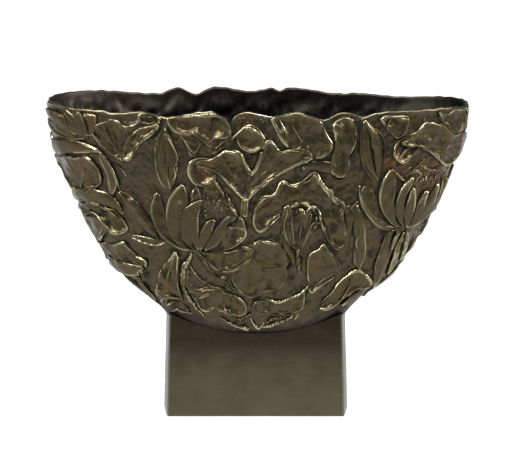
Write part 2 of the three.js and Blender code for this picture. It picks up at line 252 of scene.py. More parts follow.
# %% The wax forms
BURIED = -1.6  # how far the sides go down into the wall
EDGE = 1.6  # radius of a leaf's rounded edge
FREE_LIFT = 4.2  # lifts above this are squeezed
SPARE_LIFT = 1.5  # and this is the most that is left of the rest
DISH = 2.1  # how strongly the middle of a leaf differs from its edge
LOW_LIFT = 2.4  # petals above this lift
STACK = 1.7  # are spread apart by this much
BARE_GROUND = 1.1  # lowest lift that a cord rests on
FULLER = 1.12  # thickening of cords
LEAF_STEP = 1.25
LEAF_ROW = 1.15
PETAL_STEP = 1.1
BEAD_WIDTH = 1.5
VEIN_WIDTH = 1.1
SEED_AROUND = 8
SEED_ROWS = 6


def hold_down(lift):
    """Squeezes the highest lifts softly, so that the relief stays within the thickness of its casting."""
    return np.where(lift > FREE_LIFT, FREE_LIFT + SPARE_LIFT * np.tanh((lift - FREE_LIFT) / SPARE_LIFT), lift)


class Wax:
    """One relief piece in wax, on the flat sheet."""

    def __init__(self, name):
        self.name = name
        self.bm = bmesh.new()
        self.seed = sum(ord(letter) * (place + 1) for place, letter in enumerate(name))

    def ball(self, around, rows, shape):
        """Adds a closed ball and moves its points: shape(step round, row) gives place, height and lift."""
        made = bmesh.ops.create_uvsphere(self.bm, u_segments=around, v_segments=rows, radius=1)["verts"]
        ball = np.array([vert.co[:] for vert in made])
        row = np.rint(np.arccos(np.clip(ball[:, 2], -1, 1)) / math.pi * rows).astype(int)
        step = np.rint(np.arctan2(ball[:, 1], ball[:, 0]) / (2 * math.pi) * around).astype(int) % around
        for vert, point in zip(made, shape(step, row)):
            vert.co = point
        RELIEF_MAP.raise_to(made)

    def leaf(self, hub, outline, low, high, bead=0.7, veins=0, vein=0.6, ripples=0, ripple=0.0, tilt=(0, 0)):
        """A leaf: `low` is its edge's lift, `high` its middle's, and a bead runs along its edge."""
        self.seed += 1
        draw = np.random.default_rng(self.seed)
        edge = through(outline, LEAF_STEP, closed=True)
        hub = np.array(hub, float)
        reach = np.linalg.norm(edge - hub, axis=1).max()
        inner = max(int(reach / LEAF_ROW), 8)
        share = np.concatenate([1 - (1 - np.arange(inner + 1) / inner) ** 1.5, [1.0, 0.995, 0.0]])
        sink = np.concatenate([np.zeros(inner + 1), [0.45, 1.0, 1.0]])
        girth = np.linalg.norm(edge - np.roll(edge, 1, axis=0), axis=1).sum()
        crest = (np.arange(veins) + draw.uniform(-0.3, 0.3, veins)) / max(veins, 1)
        phase = draw.uniform(0, 2 * math.pi)

        def shape(step, row):
            s = share[row][:, None]
            flat = hub + (edge[step] - hub) * s
            s = s[:, 0]
            gap = np.full(len(flat), 99.0)
            for start in range(0, len(flat), 4000):
                part = slice(start, start + 4000)
                gap[part] = np.linalg.norm(flat[part, None] - edge[None], axis=2).min(axis=1)
            turn = step / len(edge)
            roll = 0.5 + 0.5 * lumps(edge[step], 26, self.seed + 2)
            lift = low + DISH * (high - low) * (1 - s**2)
            lift += 1.1 * bead * (0.35 + roll) * np.exp(-(((gap - EDGE - 0.3) / BEAD_WIDTH) ** 2))
            lift += s**3 * lumps(edge[step], 21, self.seed + 3)
            lift += lumps(flat, 23, self.seed + 4) + 0.35 * lumps(flat, 12, self.seed + 5)
            for place in crest:
                aside = np.abs((turn - place + 0.5) % 1 - 0.5) * girth * s
                fade = soft_step(0.04, 0.3, s) * soft_step(0.0, 0.25, 1.02 - s)
                lift += vein * np.exp(-((aside / VEIN_WIDTH) ** 2)) * fade
            lift += ripple * np.cos(2 * math.pi * ripples * turn + phase) * s**2
            lift += (flat - hub) @ np.array(tilt, float)
            lift += 0.16 * lumps(flat, 6, self.seed) + 0.07 * lumps(flat, 2.6, self.seed + 1)
            lift = hold_down(lift)
            lift -= EDGE * (1 - np.sqrt(1 - (1 - np.clip(gap / EDGE, 0, 1)) ** 2))
            lift = lift * (1 - sink[row]) + BURIED * sink[row]
            return np.column_stack([flat, lift])

        self.ball(len(edge), len(share) - 1, shape)

    def petal(self, line, camber=1.0, ridge=0.6, midrib=0.0, veins=0, round_back=False, knobs=0.0, wide=14,
              lean=0.0):
        """A petal or blade along a line of (place, height, half width, lift). `lean` raises its left side,
        for someone who walks along the line."""
        self.seed += 1
        path = through(line, PETAL_STEP)
        ahead = np.gradient(path[:, :2], axis=0)
        ahead /= np.maximum(np.linalg.norm(ahead, axis=1, keepdims=True), 1e-9)
        side = np.column_stack([-ahead[:, 1], ahead[:, 0]])
        across = np.concatenate([-np.cos(np.linspace(0, math.pi, wide + 1)), [0.9, -0.9]])
        on_top = np.concatenate([np.ones(wide + 1), [0, 0]])
        half = np.maximum(path[:, 2], 0.05)
        half[[0, -1]] = 0.0

        def shape(step, row):
            v = across[step]
            flat = path[row, :2] + side[row] * (v * half[row])[:, None]
            size = np.abs(v)
            lift = path[row, 3].copy()
            if round_back:
                lift += half[row] * (np.sqrt(np.maximum(1 - size**2, 0)) - 0.4)
                lift += knobs * np.maximum(lumps(flat, 4.5, self.seed), -0.4)
            else:
                lift = np.where(lift > LOW_LIFT, LOW_LIFT + STACK * (lift - LOW_LIFT), lift)
                lift += 1.3 * camber * (1 - size**2.2) + 1.6 * lean * v
                lift += 0.8 * ridge * np.exp(-(((size - 0.84) / 0.12) ** 2))
                lift += 0.4 * lumps(flat, 17, self.seed + 4)
                lift += midrib * np.exp(-((size * half[row]) ** 2))
                lift += 0.25 * np.cos(v * math.pi * veins) * (1 - size) if veins else 0
                lift -= 1.1 * (1 - np.sqrt(1 - np.clip((size - 0.88) / 0.12, 0, 1) ** 2))
                lift += 0.12 * lumps(flat, 6, self.seed) + 0.05 * lumps(flat, 2.4, self.seed + 1)
            lift = np.where(on_top[step] > 0, hold_down(lift), BURIED)
            return np.column_stack([flat, lift])

        self.ball(len(across), len(path) - 1, shape)

    def cord(self, line, over=0.3, knobs=0.0):
        """A rolled edge, vein or stem that lies on what is already there, along (place, height, radius)."""
        rows = np.array(line, float)
        lift = np.maximum(RELIEF_MAP.read(rows[:, :2], soft=True), BARE_GROUND) + over
        rows[:, 2] *= FULLER
        self.petal(np.column_stack([rows, lift]), round_back=True, knobs=knobs, wide=8)

    def seeds(self, hub, spread, count, radius, lift=0.0):
        """A scatter of small round seeds that sit on what is already there."""
        draw = np.random.default_rng(self.seed + 77)
        for _ in range(count):
            place = np.array(hub) + draw.uniform(-1, 1, 2) * np.array(spread)
            size = radius * draw.uniform(0.6, 1.3)
            base = float(RELIEF_MAP.read(place[None], soft=True)[0]) + lift

            def shape(step, row):
                polar = row / SEED_ROWS * math.pi
                angle = step / SEED_AROUND * 2 * math.pi
                ring = np.column_stack([np.cos(angle), np.sin(angle)]) * np.sin(polar)[:, None]
                return np.column_stack([place + size * ring, base + 0.9 * size * np.cos(polar)])

            self.ball(SEED_AROUND, SEED_ROWS, shape)


print("a lift of 9 mm is held down to", round(float(hold_down(9.0)), 2), "mm")

# %% [markdown]
# ## The height of the relief
# The patina, with the shade painted into it, depends on what stands proud and what lies deep, so every form
# leaves its height on a map of the sheet. Later forms also lie on what the map already holds.

# %% The relief map
class ReliefMap:
    """Heights of the relief in small cells. It joins up with itself, since the back repeats the front."""

    COLUMNS = 625
    CELL = 2 * SHEET_QUARTER / COLUMNS
    LOW, ROWS = 66.0, 320

    def __init__(self):
        self.heights = np.zeros((self.ROWS, self.COLUMNS))

    def cells(self, flat):
        column = ((flat[:, 0] + SHEET_QUARTER) / self.CELL) % self.COLUMNS
        row = np.clip((flat[:, 1] - self.LOW) / self.CELL, 0, self.ROWS - 1.001)
        return row, column

    def raise_to(self, verts):
        """Raises the map to a form's points, and to the middles of its faces and edges."""
        faces = {face for vert in verts for face in vert.link_faces}
        points = []
        for face in faces:
            corners = [vert.co for vert in face.verts]
            middle = sum(corners, Vector()) / len(corners)
            points.append(middle)
            points.extend((corner + middle) / 2 for corner in corners)
        points = np.array([point[:] for point in points])
        points = points[points[:, 2] > 0.2]
        row, column = self.cells(points)
        cell = (np.rint(row).astype(int), np.rint(column).astype(int) % self.COLUMNS)
        np.maximum.at(self.heights, cell, points[:, 2])

    def blurred(self, radius):
        """The map with everything smaller than `radius` millimetres smoothed away."""
        rows, columns = (np.fft.fftfreq(size)[:, None] for size in self.heights.shape)
        keep = 2 * (math.pi * radius / self.CELL) ** 2
        soft = np.exp(-keep * rows**2) * np.exp(-keep * columns[:, 0][None] ** 2)
        return np.real(np.fft.ifft2(np.fft.fft2(self.heights) * soft))

    def read(self, flat, heights=None, soft=False):
        """Heights at places on the sheet, from the map or a blurred copy. `soft` averages a few cells."""
        table = self.heights if heights is None else heights
        row, column = self.cells(np.asarray(flat, float))
        r, c = row.astype(int), column.astype(int)
        if soft:
            around = [table[np.clip(r + up, 0, self.ROWS - 1), (c + along) % self.COLUMNS]
                      for up in (-1, 0, 1, 2) for along in (-1, 0, 1, 2)]
            return np.mean(around, axis=0)
        fr, fc = row - r, column - c
        beside = (c + 1) % self.COLUMNS
        return ((table[r, c] * (1 - fc) + table[r, beside] * fc) * (1 - fr)
                + (table[r + 1, c] * (1 - fc) + table[r + 1, beside] * fc) * fr)


RELIEF_MAP = ReliefMap()
print("the map has", RELIEF_MAP.ROWS, "x", RELIEF_MAP.COLUMNS, "cells of", RELIEF_MAP.CELL, "mm")

# %% [markdown]
# ## The plants
# Each function below is one casting of the relief, drawn on the sheet, and `model` makes the waxes in their
# order, because a later one lies on the earlier ones. The left end comes first, then the row of leaves
# under the rim, the right end, the two blossoms, and the broad leaves low on the bowl.

# %% Model the plants in their order
waxes = []


def model(*plants):
    for plant in plants:
        wax = Wax(plant.__name__)
        plant(wax)
        waxes.append(wax)
    crest = round(float(RELIEF_MAP.heights.max()), 2)
    print(len(plants), "plants more,", len(waxes), "in all; the highest point is", crest, "mm off the wall")


print("every relief piece starts", -BURIED, "mm inside the wall")

# %% [markdown]
# ### The left end
# A blossom wraps round the left end. Below it come a banded leaf, a broad side leaf, and the smaller leaves
# that lead down to the foot. Petals and leaves are given different lifts, so that they overlap like tiles.

# %% Left end
def end_blossom(wax):
    wax.petal([(-160, 268, 1.5, 2), (-176, 271, 6, 2.6), (-200, 274, 6.5, 2.6), (-228, 277, 3, 1.6)],
        ridge=0.8)
    wax.petal([(-160, 269, 1.5, 2.2), (-174, 277, 6, 3), (-194, 284, 6.5, 3), (-216, 289, 2.5, 2)],
        ridge=0.9)
    wax.petal([(-160, 270, 1.5, 2.6), (-170, 281, 5, 3.4), (-182, 292, 4, 3)], ridge=0.9)
    wax.petal([(-159, 270, 1.5, 3), (-164, 281, 4.5, 3.8), (-169, 293, 3.5, 3.2)], ridge=1.0)
    wax.petal([(-158, 270, 1.5, 2.6), (-155, 280, 5, 3.2), (-153, 292, 4.5, 3)], ridge=0.8)
    wax.cord([(-213, 279, 0.7), (-196, 270, 1.0), (-178, 267, 1.0), (-163, 268, 0.8)])
    wax.cord([(-181, 293, 0.8), (-182, 286, 1.0), (-178, 275, 0.9), (-170, 270, 0.7)])
    wax.cord([(-170, 294, 0.9), (-168, 285, 1.2), (-163, 273, 0.9)])


def band_leaf(wax):
    wax.petal([(-243, 252, 5, 1.6), (-222, 254, 6.5, 2.6), (-196, 258, 7, 3.2), (-172, 260, 6, 3.4),
        (-150, 257, 2, 2.6)], camber=1.3, ridge=0.2, wide=18)
    wax.cord([(-214, 248, 0.9), (-203, 250, 1.2), (-193, 247, 0.9)])
    wax.cord([(-190, 248, 0.8), (-181, 251, 1.1), (-172, 249, 0.8)])


def side_leaf(wax):
    wax.leaf((-188, 219), [(-236, 244), (-222, 247), (-205, 247), (-192, 251), (-180, 250), (-166, 252),
        (-158, 246), (-154, 237), (-157, 227), (-170, 219), (-189, 211), (-205, 222), (-224, 234)],
        low=3.2, high=2.4, veins=9, vein=0.5, bead=0.8)
    wax.cord([(-156, 228, 0.9), (-168, 221, 1.2), (-188, 212, 1.2), (-200, 219, 0.8)])
    wax.cord([(-188, 214, 0.7), (-178, 228, 0.8), (-166, 240, 0.6)])
    wax.petal([(-151, 258, 1.2, 2.6), (-147, 248, 4, 3.4), (-143, 237, 4.6, 3.8), (-144, 226, 4.4, 3.6),
        (-149, 216, 1.5, 2.6)], camber=0.8, ridge=0.9)
    wax.cord([(-150, 257, 0.8), (-144, 246, 1.1), (-139, 234, 1.1), (-139, 220, 0.9)])


def lower_band(wax):
    wax.petal([(-214, 209, 4, 1.8), (-192, 212, 7, 2.6), (-168, 214, 7.5, 3), (-150, 209, 6.5, 2.8),
        (-141, 198, 2, 2)], camber=0.9, ridge=0.4, wide=18)
    wax.petal([(-140, 220, 2, 1.8), (-131, 209, 7, 2.2), (-123, 198, 8.5, 2.3), (-115, 186, 6, 2.2),
        (-108, 174, 1, 1.6)], camber=1.1, ridge=0.0, midrib=0.3, wide=16)


def lower_leaf(wax):
    wax.leaf((-160, 193), [(-205, 201), (-190, 206), (-176, 208), (-160, 204), (-150, 203), (-145, 198),
        (-141, 190), (-142, 183), (-151, 179), (-164, 180), (-168, 189), (-176, 195), (-192, 195)],
        low=4.0, high=2.4, bead=0.9)
    wax.leaf((-181, 184), [(-204, 189), (-190, 193), (-178, 195), (-170, 193), (-165, 187), (-165, 182),
        (-176, 176), (-188, 169), (-196, 178)], low=3.2, high=3.8, bead=0.4)
    wax.cord([(-202, 192, 0.9), (-184, 197, 1.4), (-175, 195, 1.5), (-168, 189, 1.3), (-162, 184, 0.9)])
    wax.cord([(-176, 208, 1.0), (-170, 206, 1.7), (-164, 206, 1.0)], over=0.6)
    wax.cord([(-161, 205, 0.9), (-154, 201, 1.6), (-149, 195, 1.0)], over=0.6)
    wax.cord([(-168, 186, 0.7), (-179, 178, 1.1), (-189, 169, 0.9)])


def left_base(wax):
    wax.leaf((-165, 160), [(-207, 166), (-190, 168), (-171, 168), (-153, 172), (-146, 165), (-140, 159),
        (-131, 155), (-137, 147), (-152, 149), (-169, 148), (-204, 150)], low=2.8, high=2.4, bead=0.6)
    wax.petal([(-212, 143, 2.5, 1.8), (-190, 146, 5.5, 3), (-165, 146, 6, 3.6), (-148, 146, 4.5, 3.4),
        (-138, 148, 1.5, 2.6)], camber=1.5, ridge=0.3)
    wax.cord([(-196, 152, 0.9), (-182, 153, 1.8), (-170, 149, 1.4), (-160, 151, 0.9)], over=0.5)
    wax.cord([(-178, 141, 0.9), (-166, 141, 2.0), (-152, 142, 1.8), (-143, 144, 1.0)], over=0.4)
    wax.petal([(-140, 177, 1, 1.8), (-128, 175, 3.6, 2.6), (-114, 173, 3.6, 2.8), (-102, 174, 1, 2)],
        camber=-0.8, ridge=1.0)
    wax.petal([(-152, 139, 1.5, 1.6), (-156, 130, 4, 2.2), (-157, 120, 3.5, 2), (-160, 111, 1, 1.4)],
        ridge=0.9)
    wax.petal([(-182, 139, 1.5, 1.4), (-176, 129, 4, 2), (-166, 118, 3.5, 1.8), (-157, 108, 1, 1.2)],
        ridge=0.7)
    wax.seeds((-143, 141), (5, 6), 9, 1.5)


model(end_blossom, band_leaf, side_leaf, lower_band, lower_leaf, left_base)

# %% [markdown]
# ### Leaves and buds under the rim
# Broad leaves fold over the edge here, and two closed buds stand between them. A fold is a second leaf laid
# over the first. A cord along the fold makes the rolled edge, which is where the metal is rubbed bright.

# %% The row under the rim
def fan_leaf_left(wax):
    wax.leaf((-131, 255), [(-156, 275), (-150, 282), (-142, 285), (-136, 288), (-128, 287), (-122, 282),
        (-114, 284), (-106, 286), (-100, 282), (-106, 270), (-114, 260), (-121, 252), (-130, 248),
        (-139, 254), (-150, 263)], low=3.8, high=2.6, veins=11, vein=0.8, ripples=4, ripple=0.5, bead=0.7)
    wax.leaf((-112, 268), [(-129, 251), (-126, 262), (-122, 270), (-114, 277), (-104, 282), (-90, 283),
        (-97, 274), (-106, 268), (-113, 260), (-121, 250)], low=4.2, high=3.4, bead=0.8)
    wax.leaf((-99, 288), [(-110, 291), (-104, 295), (-96, 295), (-89, 291), (-90, 284), (-98, 281),
        (-106, 284)], low=4.6, high=3.0, bead=1.1)
    wax.cord([(-106, 286, 0.7), (-100, 284, 0.9), (-94, 286, 1.0), (-95, 290, 0.9), (-101, 290, 0.7)])
    wax.cord([(-127, 282, 0.9), (-121, 275, 1.3), (-117, 269, 0.9)], over=0.6)
    wax.cord([(-155, 274, 0.8), (-147, 264, 1.1), (-138, 254, 1.0), (-128, 249, 0.9)])
    wax.cord([(-152, 258, 0.8), (-142, 250, 1.2), (-134, 243, 1.3), (-128, 234, 0.9)])


def bud_left(wax):
    wax.petal([(-87, 221, 1, 2.0), (-88, 232, 8.5, 2.5), (-87, 247, 11.5, 2.7), (-87, 262, 10, 2.7),
        (-86, 273, 6, 2.6), (-84, 283, 1, 2.2)], camber=0.6, ridge=0.7, wide=20)
    wax.petal([(-86, 224, 1, 2.6), (-90, 238, 3.2, 3.2), (-91, 252, 3.8, 3.4), (-88, 266, 3.2, 3.3),
        (-85, 281, 0.8, 2.6)], camber=0.9, ridge=0.5, lean=-0.5)
    wax.petal([(-86, 224, 1, 2.4), (-83, 236, 2.6, 3.1), (-81, 250, 3.2, 3.4), (-82, 266, 2.6, 3.3),
        (-84, 280, 0.8, 2.5)], camber=0.9, ridge=0.6, lean=0.5)
    wax.cord([(-86, 228, 0.7), (-87, 240, 1.4), (-85, 252, 2.0), (-84, 264, 1.7), (-85, 276, 0.8)],
        over=0.6)
    wax.cord([(-84, 272, 0.7), (-79, 264, 1.3), (-76, 254, 1.2), (-78, 246, 0.7)], over=0.4)
    wax.cord([(-83, 232, 0.6), (-79, 238, 1.1), (-80, 245, 0.6)], over=0.4)


def rim_leaf_left(wax):
    wax.leaf((-45, 262), [(-73, 277), (-68, 266), (-64, 256), (-58, 252), (-48, 254), (-40, 257),
        (-32, 262), (-24, 265), (-23, 273), (-36, 273), (-45, 269), (-54, 274), (-63, 276)], low=2.8,
        high=2.4, bead=0.5)
    wax.leaf((-53, 284), [(-83, 290), (-81, 282), (-74, 277), (-65, 275), (-58, 276), (-51, 272),
        (-44, 267), (-36, 271), (-28, 272), (-25, 277), (-27, 286), (-31, 292), (-40, 295), (-52, 294),
        (-66, 292), (-74, 292)], low=4.4, high=3.2, bead=0.8, tilt=(0.01, 0.02))
    wax.cord([(-83, 289, 0.9), (-80, 281, 1.2), (-73, 277, 1.3), (-65, 275, 1.2), (-58, 276, 0.9)])
    wax.cord([(-61, 277, 1.0), (-54, 273, 1.6), (-46, 266, 1.4), (-42, 264, 0.7)], over=0.7)
    wax.cord([(-46, 292, 0.9), (-37, 293, 1.6), (-30, 289, 2.0), (-27, 281, 2.0), (-25, 273, 1.5),
        (-21, 267, 0.8)], over=0.5)
    wax.cord([(-68, 270, 0.6), (-60, 258, 0.9), (-52, 268, 0.6)])
    wax.cord([(-40, 262, 0.6), (-33, 267, 1.0), (-28, 272, 0.7)], knobs=0.3)


def cup_leaf(wax):
    wax.leaf((-7, 270), [(-20, 274), (-15, 280), (-9, 283), (-2, 280), (4, 274), (7, 267), (3, 261),
        (-6, 258), (-15, 262), (-19, 268)], low=3.8, high=3.0, bead=0.9)
    wax.cord([(-24, 271, 0.8), (-16, 278, 1.2), (-9, 283, 1.3), (-1, 280, 1.2), (6, 271, 1.0),
        (9, 264, 0.7)], over=0.5)
    wax.seeds((-6, 288), (13, 3.2), 24, 1.0)
    wax.cord([(-20, 262, 0.6), (-12, 255, 0.9), (0, 256, 0.7)])


def fan_leaf_centre(wax):
    wax.leaf((-53, 240), [(-60, 253), (-66, 246), (-66, 236), (-60, 229), (-51, 228), (-42, 232),
        (-37, 241), (-42, 251), (-52, 254)], low=3.8, high=2.6, bead=1.1)
    wax.leaf((-12, 222), [(-60, 247), (-56, 251), (-45, 253), (-37, 257), (-31, 261), (-22, 260),
        (-16, 257), (-11, 247), (-7, 240), (-2, 243), (1, 251), (5, 263), (10, 270), (15, 267), (20, 259),
        (28, 261), (34, 261), (41, 260), (47, 260), (52, 253), (43, 250), (35, 246), (25, 241), (14, 234),
        (5, 227), (-4, 219), (-11, 213), (-18, 217), (-26, 226), (-35, 236), (-46, 242)], low=4.7,
        high=3.0, veins=13, vein=0.6, bead=0.9, ripples=5, ripple=0.3)
    wax.cord([(-60, 252, 1.0), (-65, 247, 1.3), (-66, 238, 1.4), (-61, 230, 1.4), (-52, 228, 1.3),
        (-44, 231, 0.9)], over=0.4)
    wax.cord([(-57, 246, 0.6), (-46, 243, 0.9), (-36, 238, 1.0), (-26, 228, 1.0), (-14, 215, 0.9)])
    wax.cord([(-24, 261, 0.8), (-16, 257, 1.5), (-11, 247, 1.5), (-6, 240, 1.5), (-1, 245, 1.3),
        (4, 260, 1.0)], over=0.4)
    wax.cord([(4, 262, 0.8), (10, 269, 1.4), (15, 266, 1.2), (21, 259, 1.0), (31, 261, 1.1),
        (45, 260, 1.6), (51, 254, 1.5)], over=0.4)
    wax.cord([(50, 253, 1.1), (36, 247, 1.2), (20, 238, 1.2), (4, 226, 1.2), (-10, 213, 1.1)])
    wax.petal([(-12, 216, 3.5, 3), (-13, 208, 4.2, 2.8), (-14, 198, 4.4, 2)], camber=1.2, veins=3)


def rim_leaf_right(wax):
    wax.leaf((41, 274), [(12, 290), (17, 293), (26, 295), (37, 296), (48, 293), (55, 289), (59, 285),
        (60, 279), (64, 272), (68, 265), (67, 258), (59, 253), (52, 255), (46, 261), (36, 260), (29, 264),
        (23, 270), (17, 280)], low=4.1, high=3.3, bead=0.6)
    wax.cord([(12, 290, 1.2), (17, 281, 1.9), (23, 271, 1.9), (29, 263, 1.1)], over=0.7)
    wax.cord([(20, 288, 0.6), (25, 278, 0.9), (30, 268, 0.7)])
    wax.cord([(31, 283, 0.5), (36, 275, 0.8), (41, 268, 0.5)])
    wax.cord([(58, 289, 1.1), (60, 280, 1.5), (64, 272, 1.9), (68, 265, 2.0), (66, 257, 1.8),
        (58, 253, 1.2)], over=0.6)


def tongue_leaf(wax):
    wax.leaf((79, 262), [(69, 286), (69, 279), (71, 268), (70, 256), (69, 246), (71, 239), (77, 235),
        (84, 235), (88, 241), (88, 248), (87, 254), (90, 262), (92, 271), (89, 281), (84, 290),
        (76, 290)], low=3.4, high=3.1, bead=0.6)
    wax.cord([(85, 289, 0.9), (91, 277, 1.3), (93, 265, 1.2), (88, 252, 0.9)], over=0.5)
    wax.petal([(88, 240, 3, 1.8), (74, 243, 5, 2.4), (60, 246, 5, 2.4), (42, 246, 3, 1.8)], camber=0.8,
        ridge=0.4)
    wax.cord([(72, 285, 1.0), (70, 280, 1.9), (73, 275, 1.0)], over=0.6)
    wax.cord([(71, 236, 0.7), (80, 232, 1.2), (87, 236, 0.9)])


def bud_right(wax):
    wax.petal([(118, 229, 1.5, 2.0), (113, 240, 7, 2.4), (108, 253, 10, 2.6), (104, 267, 10, 2.6),
        (100, 279, 6.5, 2.6), (95, 290, 1.2, 2.2)], camber=0.5, ridge=0.7, wide=20)
    wax.petal([(117, 232, 1, 2.6), (107, 246, 3.2, 3.2), (101, 260, 3.8, 3.4), (99, 274, 3.2, 3.3),
        (96, 287, 0.8, 2.6)], camber=1.0, ridge=0.5, lean=-0.5)
    wax.petal([(118, 232, 1, 2.4), (115, 246, 3.0, 3.0), (111, 262, 3.4, 3.3), (105, 277, 2.6, 3.1),
        (97, 288, 0.8, 2.6)], camber=1.0, ridge=0.6, lean=0.5)
    wax.cord([(97, 288, 0.9), (102, 280, 1.4), (106, 272, 1.7), (107, 265, 1.6), (111, 259, 1.7),
        (113, 249, 1.3), (116, 238, 0.9)], over=0.4)
    wax.cord([(99, 283, 0.6), (109, 278, 0.9), (118, 268, 0.9), (121, 252, 0.8), (120, 238, 0.6)])


def rim_leaf_small(wax):
    wax.leaf((126, 280), [(111, 288), (118, 291), (126, 291), (134, 289), (140, 287), (139, 280),
        (137, 273), (131, 269), (125, 272), (119, 279)], low=3.5, high=2.8, bead=0.9)
    wax.cord([(110, 287, 0.9), (116, 290, 1.3), (126, 290, 1.4), (137, 289, 1.1), (140, 284, 0.8)],
        over=0.4)
    wax.cord([(121, 289, 0.5), (119, 281, 0.8), (124, 272, 0.6)])


model(fan_leaf_left, bud_left, rim_leaf_left, cup_leaf, fan_leaf_centre, rim_leaf_right, tongue_leaf,
      bud_right, rim_leaf_small)

# %% [markdown]
# ### The right end
# A long folded leaf and its lobes wrap towards the right end. At the very end, where the two wall castings
# meet, a round leaf and a few petals lie across part of the joint. Those are kept low, because they stand
# in profile when the planter is seen from the front.

# %% Right end
def end_lobe(wax):
    wax.leaf((187, 283), [(168, 292), (178, 290), (188, 293), (203, 292), (207, 282), (203, 272),
        (195, 268), (187, 272), (180, 279), (172, 285)], low=3.6, high=2.2, bead=1.0)
    wax.cord([(170, 287, 0.9), (178, 280, 1.6), (186, 273, 1.4), (194, 268, 0.8)], over=0.5)
    wax.petal([(214, 290, 3, 1.2), (216, 272, 5, 1.8), (224, 250, 4, 1.4)], camber=0.8, ridge=0.4)


def end_leaf(wax):
    wax.leaf((178, 257), [(150, 278), (157, 283), (166, 283), (176, 278), (186, 271), (197, 271),
        (210, 270), (228, 264), (232, 256), (219, 251), (204, 243), (192, 240), (184, 243), (174, 249),
        (164, 255), (152, 260), (140, 262), (134, 266), (142, 270)], low=4.3, high=3.2, bead=0.9,
        veins=10, vein=0.6, ripples=3, ripple=0.4)
    wax.leaf((140, 257), [(150, 272), (143, 271), (134, 270), (128, 263), (128, 255), (133, 249),
        (140, 246), (147, 251), (153, 258), (154, 266)], low=4.3, high=2.4, bead=1.2)
    wax.cord([(131, 267, 0.9), (140, 271, 1.6), (148, 274, 1.7), (154, 281, 1.3), (159, 284, 0.8)],
        over=0.5)
    wax.cord([(134, 251, 0.8), (143, 261, 1.2), (154, 262, 1.1), (166, 256, 1.1), (178, 248, 1.0),
        (188, 241, 0.8)], over=0.3)
    wax.cord([(172, 281, 1.0), (181, 274, 1.6), (190, 269, 1.1), (199, 270, 0.8)], over=0.5)


def end_pond_leaf(wax):
    wax.leaf((222, 168), [(200, 190), (212, 198), (226, 200), (240, 196), (250, 186), (253, 172),
        (249, 158), (238, 148), (224, 144), (211, 147), (202, 156), (197, 168), (207, 177)], low=2.5,
        high=2.0, bead=0.8, veins=11, vein=0.6, ripples=5, ripple=0.3)
    wax.leaf((238, 121), [(219, 116), (224, 127), (236, 133), (249, 130), (258, 120), (251, 111),
        (237, 108), (225, 109)], low=2.2, high=1.9, bead=0.8, veins=7)
    wax.cord([(221, 146, 1.2), (217, 133, 1.7), (211, 119, 1.8), (206, 107, 1.0)], over=0.4)
    wax.petal([(199, 150, 1.5, 1.6), (194, 138, 4.2, 2.1), (188, 126, 3.8, 2), (181, 114, 1, 1.4)],
        ridge=0.7)
    wax.petal([(243, 236, 1.5, 1.6), (240, 226, 5, 2.1), (234, 214, 4.6, 2.1), (226, 204, 1.2, 1.6)],
        ridge=0.7)
    wax.petal([(220, 238, 1.5, 1.6), (222, 226, 4.4, 2.1), (224, 213, 4.2, 2.1), (226, 203, 1.2, 1.6)],
        ridge=0.7)


model(end_lobe, end_leaf, end_pond_leaf)

# %% [markdown]
# ### The pond leaf
# The roundest leaf floats flat in the middle. It is modelled before the left blossom's own leaves, because
# they lie over its edge, and a cord always rests on what is already there.

# %% The pond leaf and the leaves under the left blossom
def pond_leaf(wax):
    wax.leaf((5, 149), [(-4, 173), (5, 176), (14, 176), (23, 173), (30, 168), (34, 161), (38, 154),
        (37, 150), (40, 145), (36, 138), (34, 131), (26, 127), (12, 126), (1, 122), (-9, 120), (-19, 124),
        (-28, 130), (-32, 139), (-31, 147), (-24, 151), (-14, 156), (-7, 163)], low=3.8, high=3.0,
        bead=0.9, ripples=3, ripple=0.3)
    wax.cord([(-30, 133, 0.9), (-18, 124, 1.2), (-8, 120, 1.3), (4, 123, 2.0), (12, 126, 1.6),
        (26, 126, 1.4), (34, 131, 1.0)], over=0.4)
    wax.cord([(34, 131, 0.9), (37, 139, 1.9), (40, 147, 1.6), (42, 152, 0.8)], over=0.5)
    wax.cord([(-4, 173, 0.7), (6, 176, 1.0), (16, 176, 1.2), (27, 170, 1.2), (34, 161, 1.4),
        (40, 154, 1.0)], over=0.3)
    wax.cord([(-5, 155, 0.4), (10, 151, 0.6), (26, 152, 0.4)], over=0.1)


def under_leaves(wax):
    wax.leaf((-45, 143), [(-70, 163), (-63, 152), (-56, 144), (-48, 139), (-38, 137), (-33, 129),
        (-26, 128), (-22, 138), (-28, 148), (-40, 150), (-52, 153), (-60, 160)], low=2.6, high=2.0,
        bead=0.8)
    wax.petal([(-78, 160, 1, 1.6), (-86, 147, 3.4, 2.2), (-90, 133, 4.2, 2.4), (-80, 124, 5, 2.6),
        (-62, 127, 4.4, 2.4), (-46, 129, 1.5, 1.8)], camber=0.8, ridge=0.4)
    wax.cord([(-82, 156, 0.7), (-76, 143, 1.0), (-67, 134, 1.2), (-55, 130, 1.1), (-42, 128, 0.8)],
        knobs=0.3)
    wax.leaf((-34, 157), [(-66, 167), (-60, 158), (-54, 151), (-46, 147), (-36, 147), (-27, 149),
        (-18, 153), (-10, 158), (-5, 164), (-3, 172), (-14, 170), (-36, 165), (-54, 165)], low=3.6,
        high=3.0, bead=0.9)
    wax.cord([(-66, 165, 0.8), (-60, 155, 1.2), (-50, 147, 1.4), (-36, 145, 1.5), (-22, 149, 1.3),
        (-9, 157, 1.1), (-3, 167, 0.8)], over=0.3)
    wax.cord([(-71, 162, 0.7), (-62, 149, 1.1), (-53, 141, 1.1), (-42, 138, 1.0), (-38, 134, 1.8),
        (-32, 128, 1.1)], over=0.3)
    wax.cord([(-20, 171, 0.8), (-10, 168, 1.9), (-2, 166, 1.0)], over=0.4)


model(pond_leaf, under_leaves)

